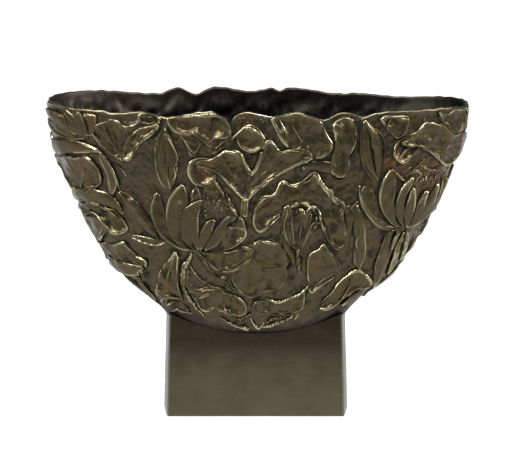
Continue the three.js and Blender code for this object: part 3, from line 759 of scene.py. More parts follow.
# %% [markdown]
# ### The left blossom
# A lotus is built from the back forwards: first the seed head, then the wide outer petals, and last the
# small ones in the middle. A camber below zero hollows a petal like a spoon, and `lean` lifts one side of
# it, so that the petals overlap.

# %% The left blossom
def blossom_left(wax):
    wax.leaf((-41, 212), [(-57, 200), (-58, 216), (-53, 228), (-44, 235), (-36, 228), (-29, 216),
        (-20, 202), (-28, 192), (-44, 190)], low=2.4, high=3.0, bead=0.2)
    wax.seeds((-40, 212), (13, 12), 60, 0.9)
    wax.petal([(-58, 228, 1.5, 2.2), (-61, 217, 6, 2.8), (-62, 205, 6, 2.6)], camber=0.5)
    wax.cord([(-60, 227, 0.8), (-57, 218, 1.1), (-54, 206, 0.9)], over=0.4)
    wax.cord([(-43, 236, 0.8), (-40, 229, 1.5), (-35, 221, 1.4), (-33, 218, 0.8)], over=0.5)
    wax.cord([(-31, 220, 0.8), (-28, 212, 1.4), (-27, 207, 0.9)], over=0.5)
    wax.cord([(-28, 209, 0.7), (-23, 203, 1.5), (-19, 197, 0.9)], over=0.5)
    wax.petal([(-100, 220, 2.5, 2.8), (-102, 207, 6.5, 3.2), (-101, 194, 8, 3.6), (-95, 182, 7.5, 3.6),
        (-85, 173, 4.5, 3.2), (-72, 167, 1.2, 2.6)], camber=-0.5, ridge=0.4, lean=-0.8)
    wax.leaf((-30, 179), [(-18, 199), (-13, 194), (-11, 188), (-10, 182), (-16, 175), (-26, 169),
        (-36, 165), (-48, 163), (-60, 165), (-52, 171), (-44, 177), (-37, 185), (-31, 190), (-24, 190)],
        low=3.9, high=3.3, bead=0.7)
    wax.petal([(-74, 229, 0.8, 3.2), (-76, 221, 7, 3.6), (-79, 212, 10.5, 3.8), (-84, 203, 9.5, 4.0),
        (-87, 194, 8, 4.1), (-88, 185, 6.5, 4.0), (-85, 177, 5, 3.8), (-78, 170, 3, 3.4),
        (-70, 167, 1, 3)], camber=0.3, ridge=0.9, wide=18, lean=-0.9)
    wax.petal([(-29, 200, 1, 3.4), (-35, 192, 3.4, 4.0), (-41, 184, 5, 4.2), (-48, 176, 5, 4.2),
        (-60, 168, 2, 3.4)], ridge=0.7, lean=0.8)
    wax.petal([(-55, 215, 0.8, 3.8), (-63, 207, 5.5, 4.2), (-70, 198, 7.5, 4.5), (-75, 188, 6.5, 4.6),
        (-75, 178, 5, 4.5), (-70, 168, 1.5, 3.6)], camber=0.3, ridge=0.9, wide=16, lean=-0.8)
    wax.petal([(-44, 196, 1, 3.6), (-50, 191, 4.4, 4.3), (-55, 184, 5.4, 4.6), (-60, 176, 4.2, 4.5),
        (-65, 167, 1, 3.6)], camber=0.6, lean=0.4)
    wax.petal([(-61, 201, 1, 3.8), (-66, 192, 4.6, 4.6), (-68, 183, 5.2, 4.8), (-67, 175, 3.8, 4.7),
        (-66, 167, 1, 3.8)], camber=0.7)
    wax.cord([(-107, 216, 0.8), (-109, 203, 1.2), (-108, 191, 1.5), (-103, 180, 1.9), (-94, 172, 2.0),
        (-82, 168, 1.6), (-68, 166, 1.0)], over=0.6)
    wax.cord([(-30, 199, 0.9), (-38, 191, 1.4), (-41, 183, 1.4), (-46, 176, 1.3), (-57, 169, 0.8)],
        over=0.3)
    wax.cord([(-31, 187, 0.6), (-22, 188, 0.9), (-13, 187, 0.7)])
    wax.leaf((-53, 200), [(-57.5, 200), (-56, 203.5), (-53, 205), (-49.5, 203.5), (-48, 200),
        (-49.5, 196.5), (-53, 195), (-56, 196.5)], low=4.4, high=3.6, bead=0.7)
    wax.seeds((-53, 200), (0.3, 0.3), 1, 1.6, lift=0.4)
    wax.cord([(-74, 228, 0.7), (-68, 221, 1.1), (-65, 213, 0.9)], over=0.4)
    wax.cord([(-55, 215, 0.8), (-64, 210, 1.2), (-74, 205, 1.1), (-79, 195, 0.9), (-81, 186, 0.7)],
        over=0.3)


model(blossom_left)

# %% [markdown]
# ### The canopy leaf and the seed pod
# A large leaf with a torn edge arches over a pod that is half open. The pod is one leaf, and cords are its
# ribs. Its stem is a cord with knobs, and so are some of the stems that rise to the right.

# %% The canopy leaf, the seed pod and the stems between
def canopy_leaf(wax):
    wax.leaf((47, 218), [(-4, 204), (0, 211), (6, 217), (15, 219), (20, 225), (24, 231), (29, 232),
        (35, 228), (42, 230), (49, 233), (55, 239), (60, 234), (66, 226), (74, 224), (80, 216), (87, 213),
        (92, 206), (91, 198), (95, 189), (98, 180), (99, 171), (92, 168), (84, 173), (76, 183), (67, 197),
        (54, 207), (40, 208), (28, 203), (18, 196), (10, 187), (2, 184), (-4, 190)], low=4.6, high=2.8,
        bead=0.9, ripples=7, ripple=0.4)
    wax.cord([(-5, 203, 0.9), (4, 216, 1.1), (17, 220, 1.1), (24, 231, 1.4), (34, 228, 1.3),
        (44, 231, 1.2), (55, 239, 1.6), (62, 231, 1.5), (68, 224, 1.3)], over=0.4)
    wax.cord([(60, 234, 0.9), (66, 226, 1.8), (71, 221, 1.8), (74, 214, 1.0)], over=0.4)
    wax.cord([(72, 224, 0.8), (76, 216, 1.6), (82, 211, 2.0), (88, 212, 1.4)], over=0.4)
    wax.cord([(64, 201, 1.1), (70, 190, 1.5), (76, 181, 1.8), (84, 172, 2.1), (92, 168, 2.3),
        (99, 172, 1.6)], over=0.5)
    wax.cord([(30, 201, 0.9), (19, 198, 1.6), (14, 190, 1.5), (6, 184, 1.3), (-3, 186, 1.1),
        (-5, 196, 0.9)], over=0.5)
    wax.petal([(92, 208, 3, 1.8), (97, 198, 5, 2.6), (98, 186, 4.5, 2.6), (101, 172, 2, 2)], camber=0.8,
        ridge=0.4)


def seed_pod(wax):
    wax.leaf((44, 187), [(27, 208), (32, 210), (36, 205), (40, 207), (46, 207), (51, 203), (57, 207),
        (62, 204), (66, 197), (65, 190), (60, 184), (57, 176), (54, 170), (49, 167), (40, 169), (34, 172),
        (28, 181), (24, 190), (24, 200)], low=2.5, high=3.0, bead=0.6)
    wax.cord([(27, 208, 0.8), (31, 203, 1.3), (29, 192, 1.3), (32, 181, 1.3), (38, 171, 0.9)], over=0.5)
    wax.cord([(36, 205, 0.7), (37, 192, 1.5), (42, 172, 0.8)], over=0.5)
    wax.cord([(46, 206, 0.7), (47, 190, 1.6), (47, 171, 0.8)], over=0.5)
    wax.cord([(56, 202, 0.6), (55, 190, 1.3), (51, 174, 0.7)], over=0.4)
    wax.cord([(67, 193, 0.8), (60, 192, 1.3), (55, 182, 1.3), (51, 171, 0.8)], over=0.5)
    wax.cord([(50, 203, 0.8), (56, 208, 1.4), (62, 205, 1.5), (66, 198, 1.3), (68, 190, 0.9)], over=0.4)
    wax.seeds((63, 197), (0.5, 0.5), 1, 3.0, lift=0.3)
    wax.seeds((43, 204), (6, 2), 6, 1.2)
    wax.cord([(47, 168, 2.0), (48, 160, 3.0), (51, 152, 3.2), (54, 143, 2.0)], over=0.8, knobs=0.8)
    wax.petal([(30, 182, 1, 1.4), (34, 170, 3.5, 2), (42, 160, 3, 1.8), (46, 150, 1, 1.2)], ridge=0.5)


def right_stems(wax):
    wax.petal([(104, 212, 2, 1.4), (99, 199, 5, 1.9), (98, 184, 5.5, 1.9), (102, 168, 2, 1.2)],
        camber=0.8, ridge=0.1)
    wax.petal([(102, 209, 1.2, 2.2), (106, 198, 5, 2.8), (110, 187, 6.2, 3.1), (115, 176, 5.6, 3.0),
        (118, 166, 7.2, 3.3), (122, 155, 6.2, 3.2), (126, 146, 1, 2.4)], camber=1.3, ridge=0.3, lean=0.4)
    wax.cord([(107, 204, 0.7), (108, 194, 1.4), (113, 184, 1.7), (111, 174, 1.3), (118, 164, 1.9),
        (122, 154, 1.2)], over=0.5)
    wax.cord([(104, 205, 0.8), (111, 192, 1.2), (117, 184, 0.9)], over=0.4)
    wax.cord([(113, 178, 0.7), (120, 170, 1.0), (127, 164, 0.7)])
    wax.petal([(148, 184, 4, 1.8), (149, 168, 6, 2.6), (151, 150, 6, 2.6), (158, 132, 3, 1.8)],
        camber=1.4, ridge=0.2)
    wax.petal([(157, 182, 2, 2), (157, 166, 3.5, 2.8), (156, 150, 4, 2.8), (163, 134, 3.5, 2.4),
        (170, 126, 2, 1.8)], ridge=0.8)
    wax.petal([(166, 180, 1.5, 2), (166, 166, 3.4, 2.8), (170, 152, 3.6, 2.8), (178, 138, 3, 2.2)],
        ridge=0.8)
    wax.cord([(168, 183, 1.6), (175, 172, 2.6), (182, 160, 2.8), (187, 150, 2.0)], over=1.2, knobs=0.5)
    wax.cord([(158, 180, 1.2), (156, 172, 2.2), (157, 164, 1.2)], over=0.6)


model(canopy_leaf, seed_pod, right_stems)

# %% [markdown]
# ### The right blossom
# This is the same flower, seen from its side. Behind it the ground is rough with stamens, which are a
# scatter of small balls, so the ground comes first and the petals close over it.

# %% The right blossom
def right_ground(wax):
    wax.seeds((176, 232), (30, 11), 70, 1.3)
    wax.cord([(160, 243, 0.7), (172, 238, 1.4), (184, 236, 0.8)], knobs=0.5)
    wax.cord([(150, 236, 0.7), (158, 244, 1.3), (163, 249, 0.7)], knobs=0.4)


def blossom_right(wax):
    wax.petal([(205, 228, 2, 1.8), (202, 214, 4.5, 2.6), (193, 200, 4.5, 3), (180, 190, 2.5, 2.8),
        (168, 184, 1, 2.4)], ridge=0.8, lean=0.8)
    wax.petal([(190, 224, 1.5, 2.4), (187, 212, 5, 3.2), (182, 202, 5.5, 3.4), (174, 192, 3, 3.2),
        (165, 185, 1, 2.8)], ridge=0.7, lean=0.7)
    wax.petal([(106, 226, 3, 2.6), (113, 213, 8.5, 3), (124, 202, 8.5, 3.2), (137, 193, 6, 3.2),
        (158, 186, 1.5, 2.8)], camber=-0.6, ridge=0.3, wide=16, lean=-0.9)
    wax.petal([(131, 241, 3.5, 2.6), (130, 229, 8, 3.4), (131, 217, 8.5, 3.8), (135, 207, 7, 4),
        (142, 198, 5.5, 3.9), (150, 191, 3.5, 3.6), (161, 186, 1, 3)], camber=0.2, ridge=1.0, wide=16,
        lean=-0.8)
    wax.petal([(154, 233, 1.5, 2.8), (150, 225, 4.6, 3.6), (147, 215, 5, 4), (148, 206, 5, 4.2),
        (153, 196, 4, 4.1), (161, 186, 1.2, 3.4)], camber=0.4, ridge=0.9, lean=-0.7)
    wax.petal([(176, 219, 1, 2.8), (173, 209, 4.4, 3.8), (172, 200, 4.8, 4), (169, 190, 1.8, 3.6),
        (165, 184, 0.8, 3)], ridge=0.7, lean=0.6)
    wax.petal([(158, 223, 2, 3.2), (159, 212, 4.8, 4.3), (160, 203, 5.8, 4.6), (162, 194, 4.6, 4.5),
        (165, 185, 1.2, 3.6)], camber=0.8, ridge=0.4)
    wax.cord([(101, 227, 1.0), (104, 217, 1.5), (110, 207, 1.9), (119, 198, 2.2), (130, 190, 2.5),
        (142, 185, 2.7), (154, 183, 2.2), (166, 184, 1.2)], over=0.6)
    wax.cord([(127, 241, 0.8), (138, 235, 1.4), (147, 229, 0.9)], over=0.4)
    wax.cord([(146, 233, 0.9), (156, 238, 1.7), (163, 234, 1.2), (158, 226, 0.8)], over=0.4)
    wax.cord([(198, 228, 0.8), (199, 214, 1.2), (192, 202, 1.3), (180, 191, 1.0)], over=0.3)
    wax.seeds((166, 226), (12, 5), 14, 1.3)


model(right_ground, blossom_right)

# %% [markdown]
# ### The leaves low on the bowl
# Below the flowers the leaves are broad and shallow, and a thick knobbed stem crosses them. The fringe
# along the bottom breaks up the line where the bowl meets its foot.

# %% The broad leaves low on the bowl
def heart_leaf(wax):
    wax.leaf((79, 149), [(75, 173), (81, 166), (89, 161), (96, 155), (101, 149), (100, 142), (96, 138),
        (89, 134), (83, 129), (78, 124), (71, 127), (67, 134), (63, 142), (60, 151), (59, 160), (63, 165),
        (69, 168)], low=4.2, high=3.6, bead=0.9)
    wax.cord([(75, 172, 0.9), (83, 165, 1.2), (93, 158, 1.3), (101, 149, 1.4), (99, 140, 1.4),
        (89, 133, 1.3), (80, 124, 0.9)], over=0.3)
    wax.cord([(97, 144, 0.6), (86, 139, 1.0), (76, 131, 0.9)], over=0.4)


def kidney_leaf(wax):
    wax.leaf((-52, 115), [(-91, 119), (-84, 121), (-74, 124), (-64, 127), (-54, 127), (-44, 126),
        (-35, 123), (-27, 120), (-20, 116), (-15, 111), (-17, 106), (-27, 103), (-38, 103), (-48, 105),
        (-60, 107), (-74, 106), (-86, 107), (-91, 112)], low=4.2, high=3.2, bead=0.9)
    wax.cord([(-40, 125, 0.9), (-27, 120, 1.4), (-17, 113, 2.0), (-17, 106, 2.0), (-27, 103, 1.7),
        (-40, 103, 1.6), (-52, 106, 1.0)], over=0.4)
    wax.seeds((-48, 108), (11, 2.5), 14, 1.2)
    wax.cord([(-88, 122, 0.8), (-72, 127, 1.2), (-56, 128, 1.2), (-42, 126, 0.9)], over=0.2, knobs=0.3)


def trumpet_leaf(wax):
    wax.leaf((-115, 130), [(-93, 165), (-103, 159), (-112, 152), (-121, 144), (-131, 134), (-141, 124),
        (-149, 114), (-144, 108), (-132, 116), (-120, 118), (-110, 115), (-106, 120), (-101, 132),
        (-95, 144), (-90, 156)], low=3.4, high=3.9, bead=0.6)
    wax.cord([(-96, 161, 0.6), (-106, 147, 1.0), (-117, 133, 1.1), (-124, 119, 0.9)], over=0.3)
    wax.cord([(-92, 160, 0.6), (-98, 144, 1.0), (-105, 128, 1.0), (-110, 117, 0.7)], over=0.3)
    wax.cord([(-147, 113, 0.9), (-136, 119, 1.6), (-124, 121, 1.8), (-112, 119, 1.2)], over=0.5)
    wax.leaf((-126, 108), [(-144, 108), (-136, 113), (-124, 115), (-113, 113), (-108, 107), (-113, 103),
        (-124, 104), (-136, 103)], low=1.8, high=0.6, bead=0.6)
    wax.cord([(-140, 103, 0.7), (-128, 106, 1.1), (-116, 104, 0.9), (-106, 103, 0.7)], over=0.2)


def knobbed_stem(wax):
    wax.cord([(-74, 165, 1.0), (-79, 158, 1.8), (-87, 150, 2.4), (-92, 141, 2.8), (-97, 130, 2.9),
        (-98, 119, 2.9), (-95, 111, 2.6), (-90, 105, 2.0), (-86, 101, 1.2)], over=1.2, knobs=0.6)
    wax.cord([(-92, 148, 0.7), (-87, 153, 1.2), (-80, 155, 0.9)], over=0.3)


def low_leaf_right(wax):
    wax.leaf((121, 129), [(100, 116), (103, 126), (105, 134), (111, 140), (118, 146), (128, 147),
        (138, 142), (148, 137), (155, 131), (150, 126), (138, 126), (131, 122), (126, 114), (116, 109),
        (104, 107)], low=3.9, high=2.8, bead=0.9)
    wax.cord([(100, 108, 0.9), (112, 109, 1.5), (124, 113, 1.8), (131, 122, 1.8), (140, 126, 1.6),
        (152, 129, 1.1)], over=0.4)
    wax.cord([(117, 145, 0.6), (124, 133, 1.0), (127, 118, 0.9)], over=0.4)
    wax.cord([(103, 122, 0.8), (108, 135, 1.1), (120, 146, 0.8)], over=0.3)
    wax.petal([(158, 138, 1.5, 1.6), (154, 128, 4, 2.2), (146, 119, 4, 2), (134, 110, 2, 1.4)], ridge=0.6)


def bottom_fringe(wax):
    wax.leaf((31, 111), [(-8, 112), (-2, 107), (8, 104), (28, 103), (50, 103), (66, 105), (74, 109),
        (72, 119), (66, 127), (58, 122), (46, 119), (30, 117), (13, 117), (0, 117)], low=2.8, high=2.2,
        bead=0.8)
    wax.cord([(-10, 113, 0.9), (0, 106, 1.5), (14, 103, 1.4), (34, 102, 1.4), (54, 102, 1.4),
        (70, 106, 1.1)], over=0.4)
    wax.cord([(-2, 118, 0.6), (16, 118, 0.9), (34, 116, 1.0), (50, 119, 1.2), (62, 124, 1.6),
        (69, 132, 1.0)], over=0.3, knobs=0.4)
    wax.cord([(-10, 100, 0.8), (-5, 93, 1.6), (3, 88, 1.9), (10, 89, 1.2), (14, 94, 0.8)], over=0.5)
    wax.cord([(-40, 100, 0.8), (-30, 98, 1.3), (-18, 100, 1.2), (-8, 103, 0.8)], over=0.3, knobs=0.4)
    wax.cord([(-60, 99, 0.8), (-46, 93, 1.5), (-34, 90, 1.9), (-20, 87.5, 1.9), (-12, 86, 1.2)], over=0.6,
        knobs=0.5)
    wax.cord([(14, 89, 1.0), (26, 90, 1.8), (40, 93, 1.9), (54, 97, 1.6), (66, 103, 1.0)], over=0.6,
        knobs=0.6)
    wax.cord([(20, 93, 0.8), (26, 97, 1.6), (38, 98, 1.5), (52, 100, 1.0)], over=0.3, knobs=0.5)
    wax.seeds((30, 98), (22, 2), 10, 1.4)
    wax.seeds((-36, 95), (18, 2.5), 12, 1.3)
    wax.petal([(66, 112, 1.5, 1.6), (68, 104, 3, 2), (66, 96, 1, 1.2)], ridge=0.6)


model(heart_leaf, kidney_leaf, trumpet_leaf, knobbed_stem, low_leaf_right, bottom_fringe)

# %% [markdown]
# ## The rim
# The rim is scalloped, because it follows the leaves that grow up to it. On the left of the middle a rolled
# leaf dips over the edge and leaves a narrow notch.

# %% Rim heights
RIM_ROWS = [
    (-470, -0.5), (-458, -1), (-428, 3), (-408, -3.5), (-392, 3), (-373, -2.5), (-310, 2.5), (-249, 2),
    (-235, -1), (-206, 4), (-180, 1.5), (-147, 1), (-132, -1), (-105, 1), (-84, -3.5), (-44, 2),
    (-27, -4), (-12, 1.5), (14, -2.5), (35, 1.5), (60, -5.5), (77, 1), (97, -3.5), (110, 0), (150, 1),
    (180, 1.5), (215, -2), (235, -1), (280, -1.5), (330, -4.5), (368, -2.5), (396, -3), (418, 0.5),
    (440, 2), (448, -0.5), (457, 2), (470, -0.5),
]
NOTCH_PLACE = -26.0
NOTCH_DEPTH = 6.0
LIP = 2.0


def rim_height(place):
    """The height of the rim above the floor, at places round the whole bowl."""
    turned = (place + 2 * SHEET_QUARTER) % SHEET_ROUND - 2 * SHEET_QUARTER
    rise = smooth_table(RIM_ROWS, turned)[:, 0]
    notch = NOTCH_DEPTH * np.exp(-(((turned - NOTCH_PLACE) / 2.6) ** 2))
    return RIM + rise - notch + 0.25 * lumps(turned[:, None], 11, 4)


rim_samples = rim_height(np.linspace(-2 * SHEET_QUARTER, 2 * SHEET_QUARTER, 941))
print("the rim runs from", round(rim_samples.min(), 1), "to", round(rim_samples.max(), 1), "mm")

# %% [markdown]
# ## Patina
# The caster brushes the whole pot with a dark liver-of-sulphur patina and then rubs it back with a soft
# pad. The pad reaches what stands proud, so edges come up pale brass, and the deep places stay nearly
# black, both as patina and as painted shade, the shade that falls in the hollows and beside higher forms.
# `patina` paints this on a piece's points: red is how worn, green how deep and shaded, and blue how coppery.

# %% Paint wear and depth
FINE_BLUR = RELIEF_MAP.blurred(1.5)
MIDDLE_BLUR = RELIEF_MAP.blurred(3.2)
BROAD_BLUR = RELIEF_MAP.blurred(6.5)
COPPER_PATCHES = [
    (131, 250, 12, 0.9), (140, 236, 9, 0.6), (-53, 241, 8, 0.8), (10, 214, 9, 0.5), (78, 218, 8, 0.5),
    (200, 212, 10, 0.6), (-6, 288, 12, 0.5), (-150, 285, 10, 0.5), (172, 234, 26, 0.55),
    (-72, 114, 18, 0.35), (-60, 190, 14, 0.3), (-176, 240, 20, 0.45), (108, 150, 10, 0.3),
    (-118, 130, 14, 0.4),
]


def patina(sheet):
    """Wear, depth with its painted shade, and copper at points of the sheet, as a colour."""
    fine = sheet[:, 2] - RELIEF_MAP.read(sheet[:, :2], FINE_BLUR)
    broad = sheet[:, 2] - RELIEF_MAP.read(sheet[:, :2], BROAD_BLUR)
    wear = soft_step(0.15, 1.2, fine + 0.12 * broad) * soft_step(-0.8, 0.6, broad)
    wear += 0.2 * soft_step(0, 2.5, broad)
    middle = sheet[:, 2] - RELIEF_MAP.read(sheet[:, :2], MIDDLE_BLUR)
    # Dark patina in the hollows, which is also painted shade beside higher forms.
    hollow_patina_and_shade = soft_step(0.2, 2.0, -0.8 * fine - 0.6 * middle - 0.15 * broad)
    copper = np.zeros(len(sheet))
    for place, height, size, amount in COPPER_PATCHES:
        away = np.hypot(sheet[:, 0] - place, sheet[:, 1] - height) / size
        copper = np.maximum(copper, amount * np.exp(-away**2))
    return np.column_stack([wear, hollow_patina_and_shade, copper, np.ones(len(sheet))])


def give_attribute(mesh, name, kind, values):
    layer = mesh.attributes.new(name, kind, "POINT")
    field = "color" if kind == "FLOAT_COLOR" else "value"
    layer.data.foreach_set(field, np.ascontiguousarray(values, np.float32).ravel())


print(len(COPPER_PATCHES), "coppery patches; the finest blur peaks at", round(FINE_BLUR.max(), 2), "mm")

# %% [markdown]
# ## Putting a piece in place
# Every piece is a mesh at the origin, in metres, with its place in its points. It rides on the planter's
# one body, takes one of the finishes made below, and hides the casting of the frame that it stands for. A few
# stems and low leaves have no casting of their own in the frame, so they stand for none.

# %% Place a piece
MATERIALS = {}


def place_piece(name, mesh, finish, nodes, crease=None):
    """Puts a mesh in the scene with one of the finishes made here, and hides the frame's castings in `nodes`.
    Edges sharper than `crease` stay sharp.
    """
    piece = bpy.data.objects.new(name, mesh)
    bpy.context.scene.collection.objects.link(piece)
    mesh.polygons.foreach_set("use_smooth", np.ones(len(mesh.polygons), bool))
    if crease:
        mesh.set_sharp_from_angle(angle=math.radians(crease))
    mesh.materials.append(MATERIALS[finish])
    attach(piece, "root")
    if nodes:
        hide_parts(*nodes)


def to_mesh(bm, name):
    bmesh.ops.recalc_face_normals(bm, faces=bm.faces)
    mesh = bpy.data.meshes.new(name)
    bm.to_mesh(mesh)
    bm.free()
    return mesh


def points_of(mesh):
    points = np.empty(len(mesh.vertices) * 3, np.float32)
    mesh.vertices.foreach_get("co", points)
    return points.reshape(-1, 3).astype(float)


def set_points(mesh, points):
    """Gives a mesh its points, from millimetres to metres."""
    mesh.vertices.foreach_set("co", (points * MM).astype(np.float32).ravel())
    mesh.update()


def mesh_in_metres(bm, name):
    """The finished mesh of a piece that was modelled in millimetres."""
    mesh = to_mesh(bm, name)
    set_points(mesh, points_of(mesh))
    return mesh


print("one millimetre is", MM, "in Blender's units")

# %% [markdown]
# ## Materials
# `Wire` wraps one output of a shader, so that the finish can be written as sums. `make` adds any node: its
# type, its settings, and then the values or wires of its inputs.

# %% A small language for shaders
class Wire:
    """One output of a shader tree. Sums of wires and numbers become Math nodes."""

    def __init__(self, tree, socket=None):
        self.tree = tree
        self.socket = socket

    def make(self, kind, settings=None, inputs=None, output=0):
        node = self.tree.nodes.new(kind)
        for name, value in (settings or {}).items():
            setattr(node, name, value)
        for name, value in (inputs or {}).items():
            if isinstance(value, Wire):
                self.tree.links.new(value.socket, node.inputs[name])
            else:
                node.inputs[name].default_value = value
        return Wire(self.tree, node.outputs[output]) if node.outputs else node

    def sum(self, operation, *terms):
        return self.make("ShaderNodeMath", {"operation": operation}, dict(enumerate(terms)))

    def __add__(self, other):
        return self.sum("ADD", self, other)

    def __sub__(self, other):
        return self.sum("SUBTRACT", self, other)

    def __mul__(self, other):
        return self.sum("MULTIPLY", self, other)

    def __radd__(self, other):
        return self.sum("ADD", other, self)

    def __rsub__(self, other):
        return self.sum("SUBTRACT", other, self)

    def __rmul__(self, other):
        return self.sum("MULTIPLY", other, self)

    def between(self, low, high):
        """A soft step from 0 at low to 1 at high."""
        settings = {"interpolation_type": "SMOOTHSTEP"}
        return self.make("ShaderNodeMapRange", settings, {"Value": self, "From Min": low, "From Max": high})

    def blend(self, first, second):
        """A colour between two colours, by this wire."""
        return self.make("ShaderNodeMix", {"data_type": "RGBA"}, {0: self, 6: first, 7: second}, output=2)

    def noise(self, scale, detail=2.0, rough=0.5, stretch=(1, 1, 1)):
        """A soft random value between 0 and 1 that follows the piece's own coordinates."""
        place = self.make("ShaderNodeTexCoord", output="Object")
        place = self.make("ShaderNodeVectorMath", {"operation": "MULTIPLY"}, {0: place, 1: stretch})
        return self.make("ShaderNodeTexNoise", inputs={"Vector": place, "Scale": scale, "Detail": detail,
                                                       "Roughness": rough})

    def attribute(self, name, output="Fac"):
        return self.make("ShaderNodeAttribute", {"attribute_name": name}, output=output)


def colour(red, green, blue):
    return (red, green, blue, 1.0)


def new_material(name):
    material = bpy.data.materials.new(name)
    material.use_nodes = True
    material.node_tree.nodes.clear()
    MATERIALS[name] = material
    return Wire(material.node_tree)


def finish_material(draw, inputs):
    shader = draw.make("ShaderNodeBsdfPrincipled", inputs=inputs)
    draw.make("ShaderNodeOutputMaterial", inputs={"Surface": shader})
    print("a finish of", len(draw.tree.nodes), "nodes")


print("shader sums know +, - and *, and `make` adds any other node")

# %% [markdown]
# ### Cast bronze
# Relief and wall share one finish. The body of the metal is a dark olive brown, mottled where the patina
# took unevenly. Wear brings up pale brass, depth takes the colour to brown-black as patina and as painted
# shade in the hollows, and patches turn coppery. The inside was never rubbed, so it stays a dull grey-brown,
# painted lighter towards the left end, where light falls on it.

# %% Relief and wall bronze
def cast_bronze(name, body, rubbed, worn_gain=1.0):
    draw = new_material(name)
    painted = {0: draw.attribute("patina", "Color")}
    parts = [draw.make("ShaderNodeSeparateColor", inputs=painted, output=part) for part in range(3)]
    worn, deep_patina_and_shade, coppery = parts
    inside = draw.attribute("inside")
    patches = draw.noise(55, 4, 0.6)
    mottle = draw.noise(260, 5, 0.65)
    grain = draw.noise(1500, 3, 0.6)
    rubbing = draw.noise(24, 2, 0.5).between(0.3, 0.7)
    worn = (worn * (0.12 + mottle * 0.4 + rubbing * 0.75) * worn_gain).between(0.06, 1.0) * (1.0 - inside)
    # Green: dark patina in the hollows, which also serves as painted shade where higher forms crowd lower
    # ones.
    deep_patina_and_shade = (deep_patina_and_shade * 1.15 + (mottle - 0.46) * 0.1).between(0.0, 1.0)
    red, green, blue = body
    base = patches.between(0.3, 0.7).blend(colour(*body), colour(red * 1.15, green * 1.08, blue * 0.85))
    dark_olive = colour(red * 0.6, green * 0.58, blue * 0.6)
    base = (mottle.between(0.35, 0.75) * 0.25).blend(base, dark_olive)
    base = (coppery * (0.5 + patches)).between(0.1, 1.0).blend(base, colour(0.088, 0.047, 0.022))
    base = (deep_patina_and_shade * 0.9).blend(base, colour(0.008, 0.006, 0.0045))
    base = (worn * 0.85).blend(base, colour(*rubbed))
    dull = (patches * 0.7 + mottle * 0.5).between(0.3, 0.85)
    inner = dull.blend(colour(0.0045, 0.0042, 0.0038), colour(0.015, 0.0132, 0.0112))
    object_place = {0: draw.make("ShaderNodeTexCoord", output="Object")}
    # Painted light: the inside is lighter towards the left end, where the light falls on its inner face.
    painted_light_left_inside = draw.make("ShaderNodeSeparateXYZ", inputs=object_place).between(-0.04, -0.15)
    inner = (painted_light_left_inside * (0.2 + mottle)).blend(inner, colour(0.042, 0.036, 0.030))
    base = inside.blend(base, inner)
    rough = 0.34 + deep_patina_and_shade * 0.2 - worn * 0.1 + (mottle - 0.5) * 0.12 + inside * 0.14
    pitting = (mottle * 0.7 + grain * 0.22) * (1.0 - worn * 0.8)
    bumps = draw.make("ShaderNodeBump", inputs={"Strength": 0.5, "Distance": 0.0007, "Height": pitting})
    metallic = 1.0 - deep_patina_and_shade * 0.3 * (1.0 - inside)
    finish_material(draw, {"Base Color": base, "Metallic": metallic, "Roughness": rough, "Normal": bumps})


cast_bronze("relief_bronze", (0.053, 0.043, 0.026), (0.262, 0.238, 0.138))
cast_bronze("wall_bronze", (0.050, 0.040, 0.027), (0.27, 0.25, 0.175), worn_gain=1.1)


# %% [markdown]
# ### The foot
# The foot is plain sheet, brushed along its length before the patina went on. The patina is uneven in
# blotches, the foot is lighter towards the floor, and painted shade darkens a band along its top, under the
# bowl.

# %% Foot bronze
def foot_bronze():
    draw = new_material("foot_bronze")
    streaks = draw.noise(70, 4, 0.6, stretch=(0.35, 0.35, 9.0))
    blotches = draw.noise(38, 5, 0.62)
    specks = draw.noise(420, 3, 0.6)
    object_place = {0: draw.make("ShaderNodeTexCoord", output="Object")}
    height = draw.make("ShaderNodeSeparateXYZ", inputs=object_place, output=2)
    low = 1.0 - height.between(0.0, FOOT_TOP * MM)
    uneven = (blotches * 0.75 + streaks * 0.35).between(0.42, 0.68)
    base = uneven.blend(colour(0.026, 0.021, 0.0135), colour(0.042, 0.035, 0.021))
    base = (low * (0.3 + blotches)).blend(base, colour(0.074, 0.066, 0.041))
    base = ((specks - 0.56) * 3.0).between(0.0, 1.0).blend(base, colour(0.072, 0.064, 0.042))
    # Painted shade: a dark band along the top of the foot, under the overhang of the bowl, with a ragged
    # edge.
    painted_shade_under_bowl = (height + (blotches - 0.5) * 0.03).between(0.056, 0.076)
    base = (painted_shade_under_bowl * 0.52).blend(base, colour(0.012, 0.0098, 0.0072))
    worn = draw.attribute("edge")
    base = (worn * (0.2 + specks * 0.8)).between(0.2, 1.0).blend(base, colour(0.22, 0.2, 0.13))
    rough = 0.3 + blotches * 0.16 + (streaks - 0.5) * 0.12
    brushing = streaks * 0.7 + specks * 0.3
    bumps = draw.make("ShaderNodeBump", inputs={"Strength": 0.35, "Distance": 0.0004, "Height": brushing})
    finish_material(draw, {"Base Color": base, "Metallic": 1.0, "Roughness": rough, "Normal": bumps})


foot_bronze()


# %% [markdown]
# ### Felt
# Four thin felt pads keep the metal off the table. Felt is matt and a little woolly, so it gets fine bumps
# and no shine.

# %% Felt
def felt():
    draw = new_material("felt")
    fluff = draw.noise(900, 4, 0.7)
    base = fluff.between(0.3, 0.7).blend(colour(0.018, 0.016, 0.014), colour(0.05, 0.045, 0.04))
    bumps = draw.make("ShaderNodeBump", inputs={"Strength": 0.8, "Distance": 0.0004, "Height": fluff})
    finish_material(draw, {"Base Color": base, "Roughness": 0.95, "Normal": bumps})


felt()

# %% [markdown]
# ## Lay the relief on the bowl
# Each wax becomes two castings, one on the front and one on the back, half a turn round. The wax is
# modelled on the unrolled sheet, so the same mesh is copied and bent twice.

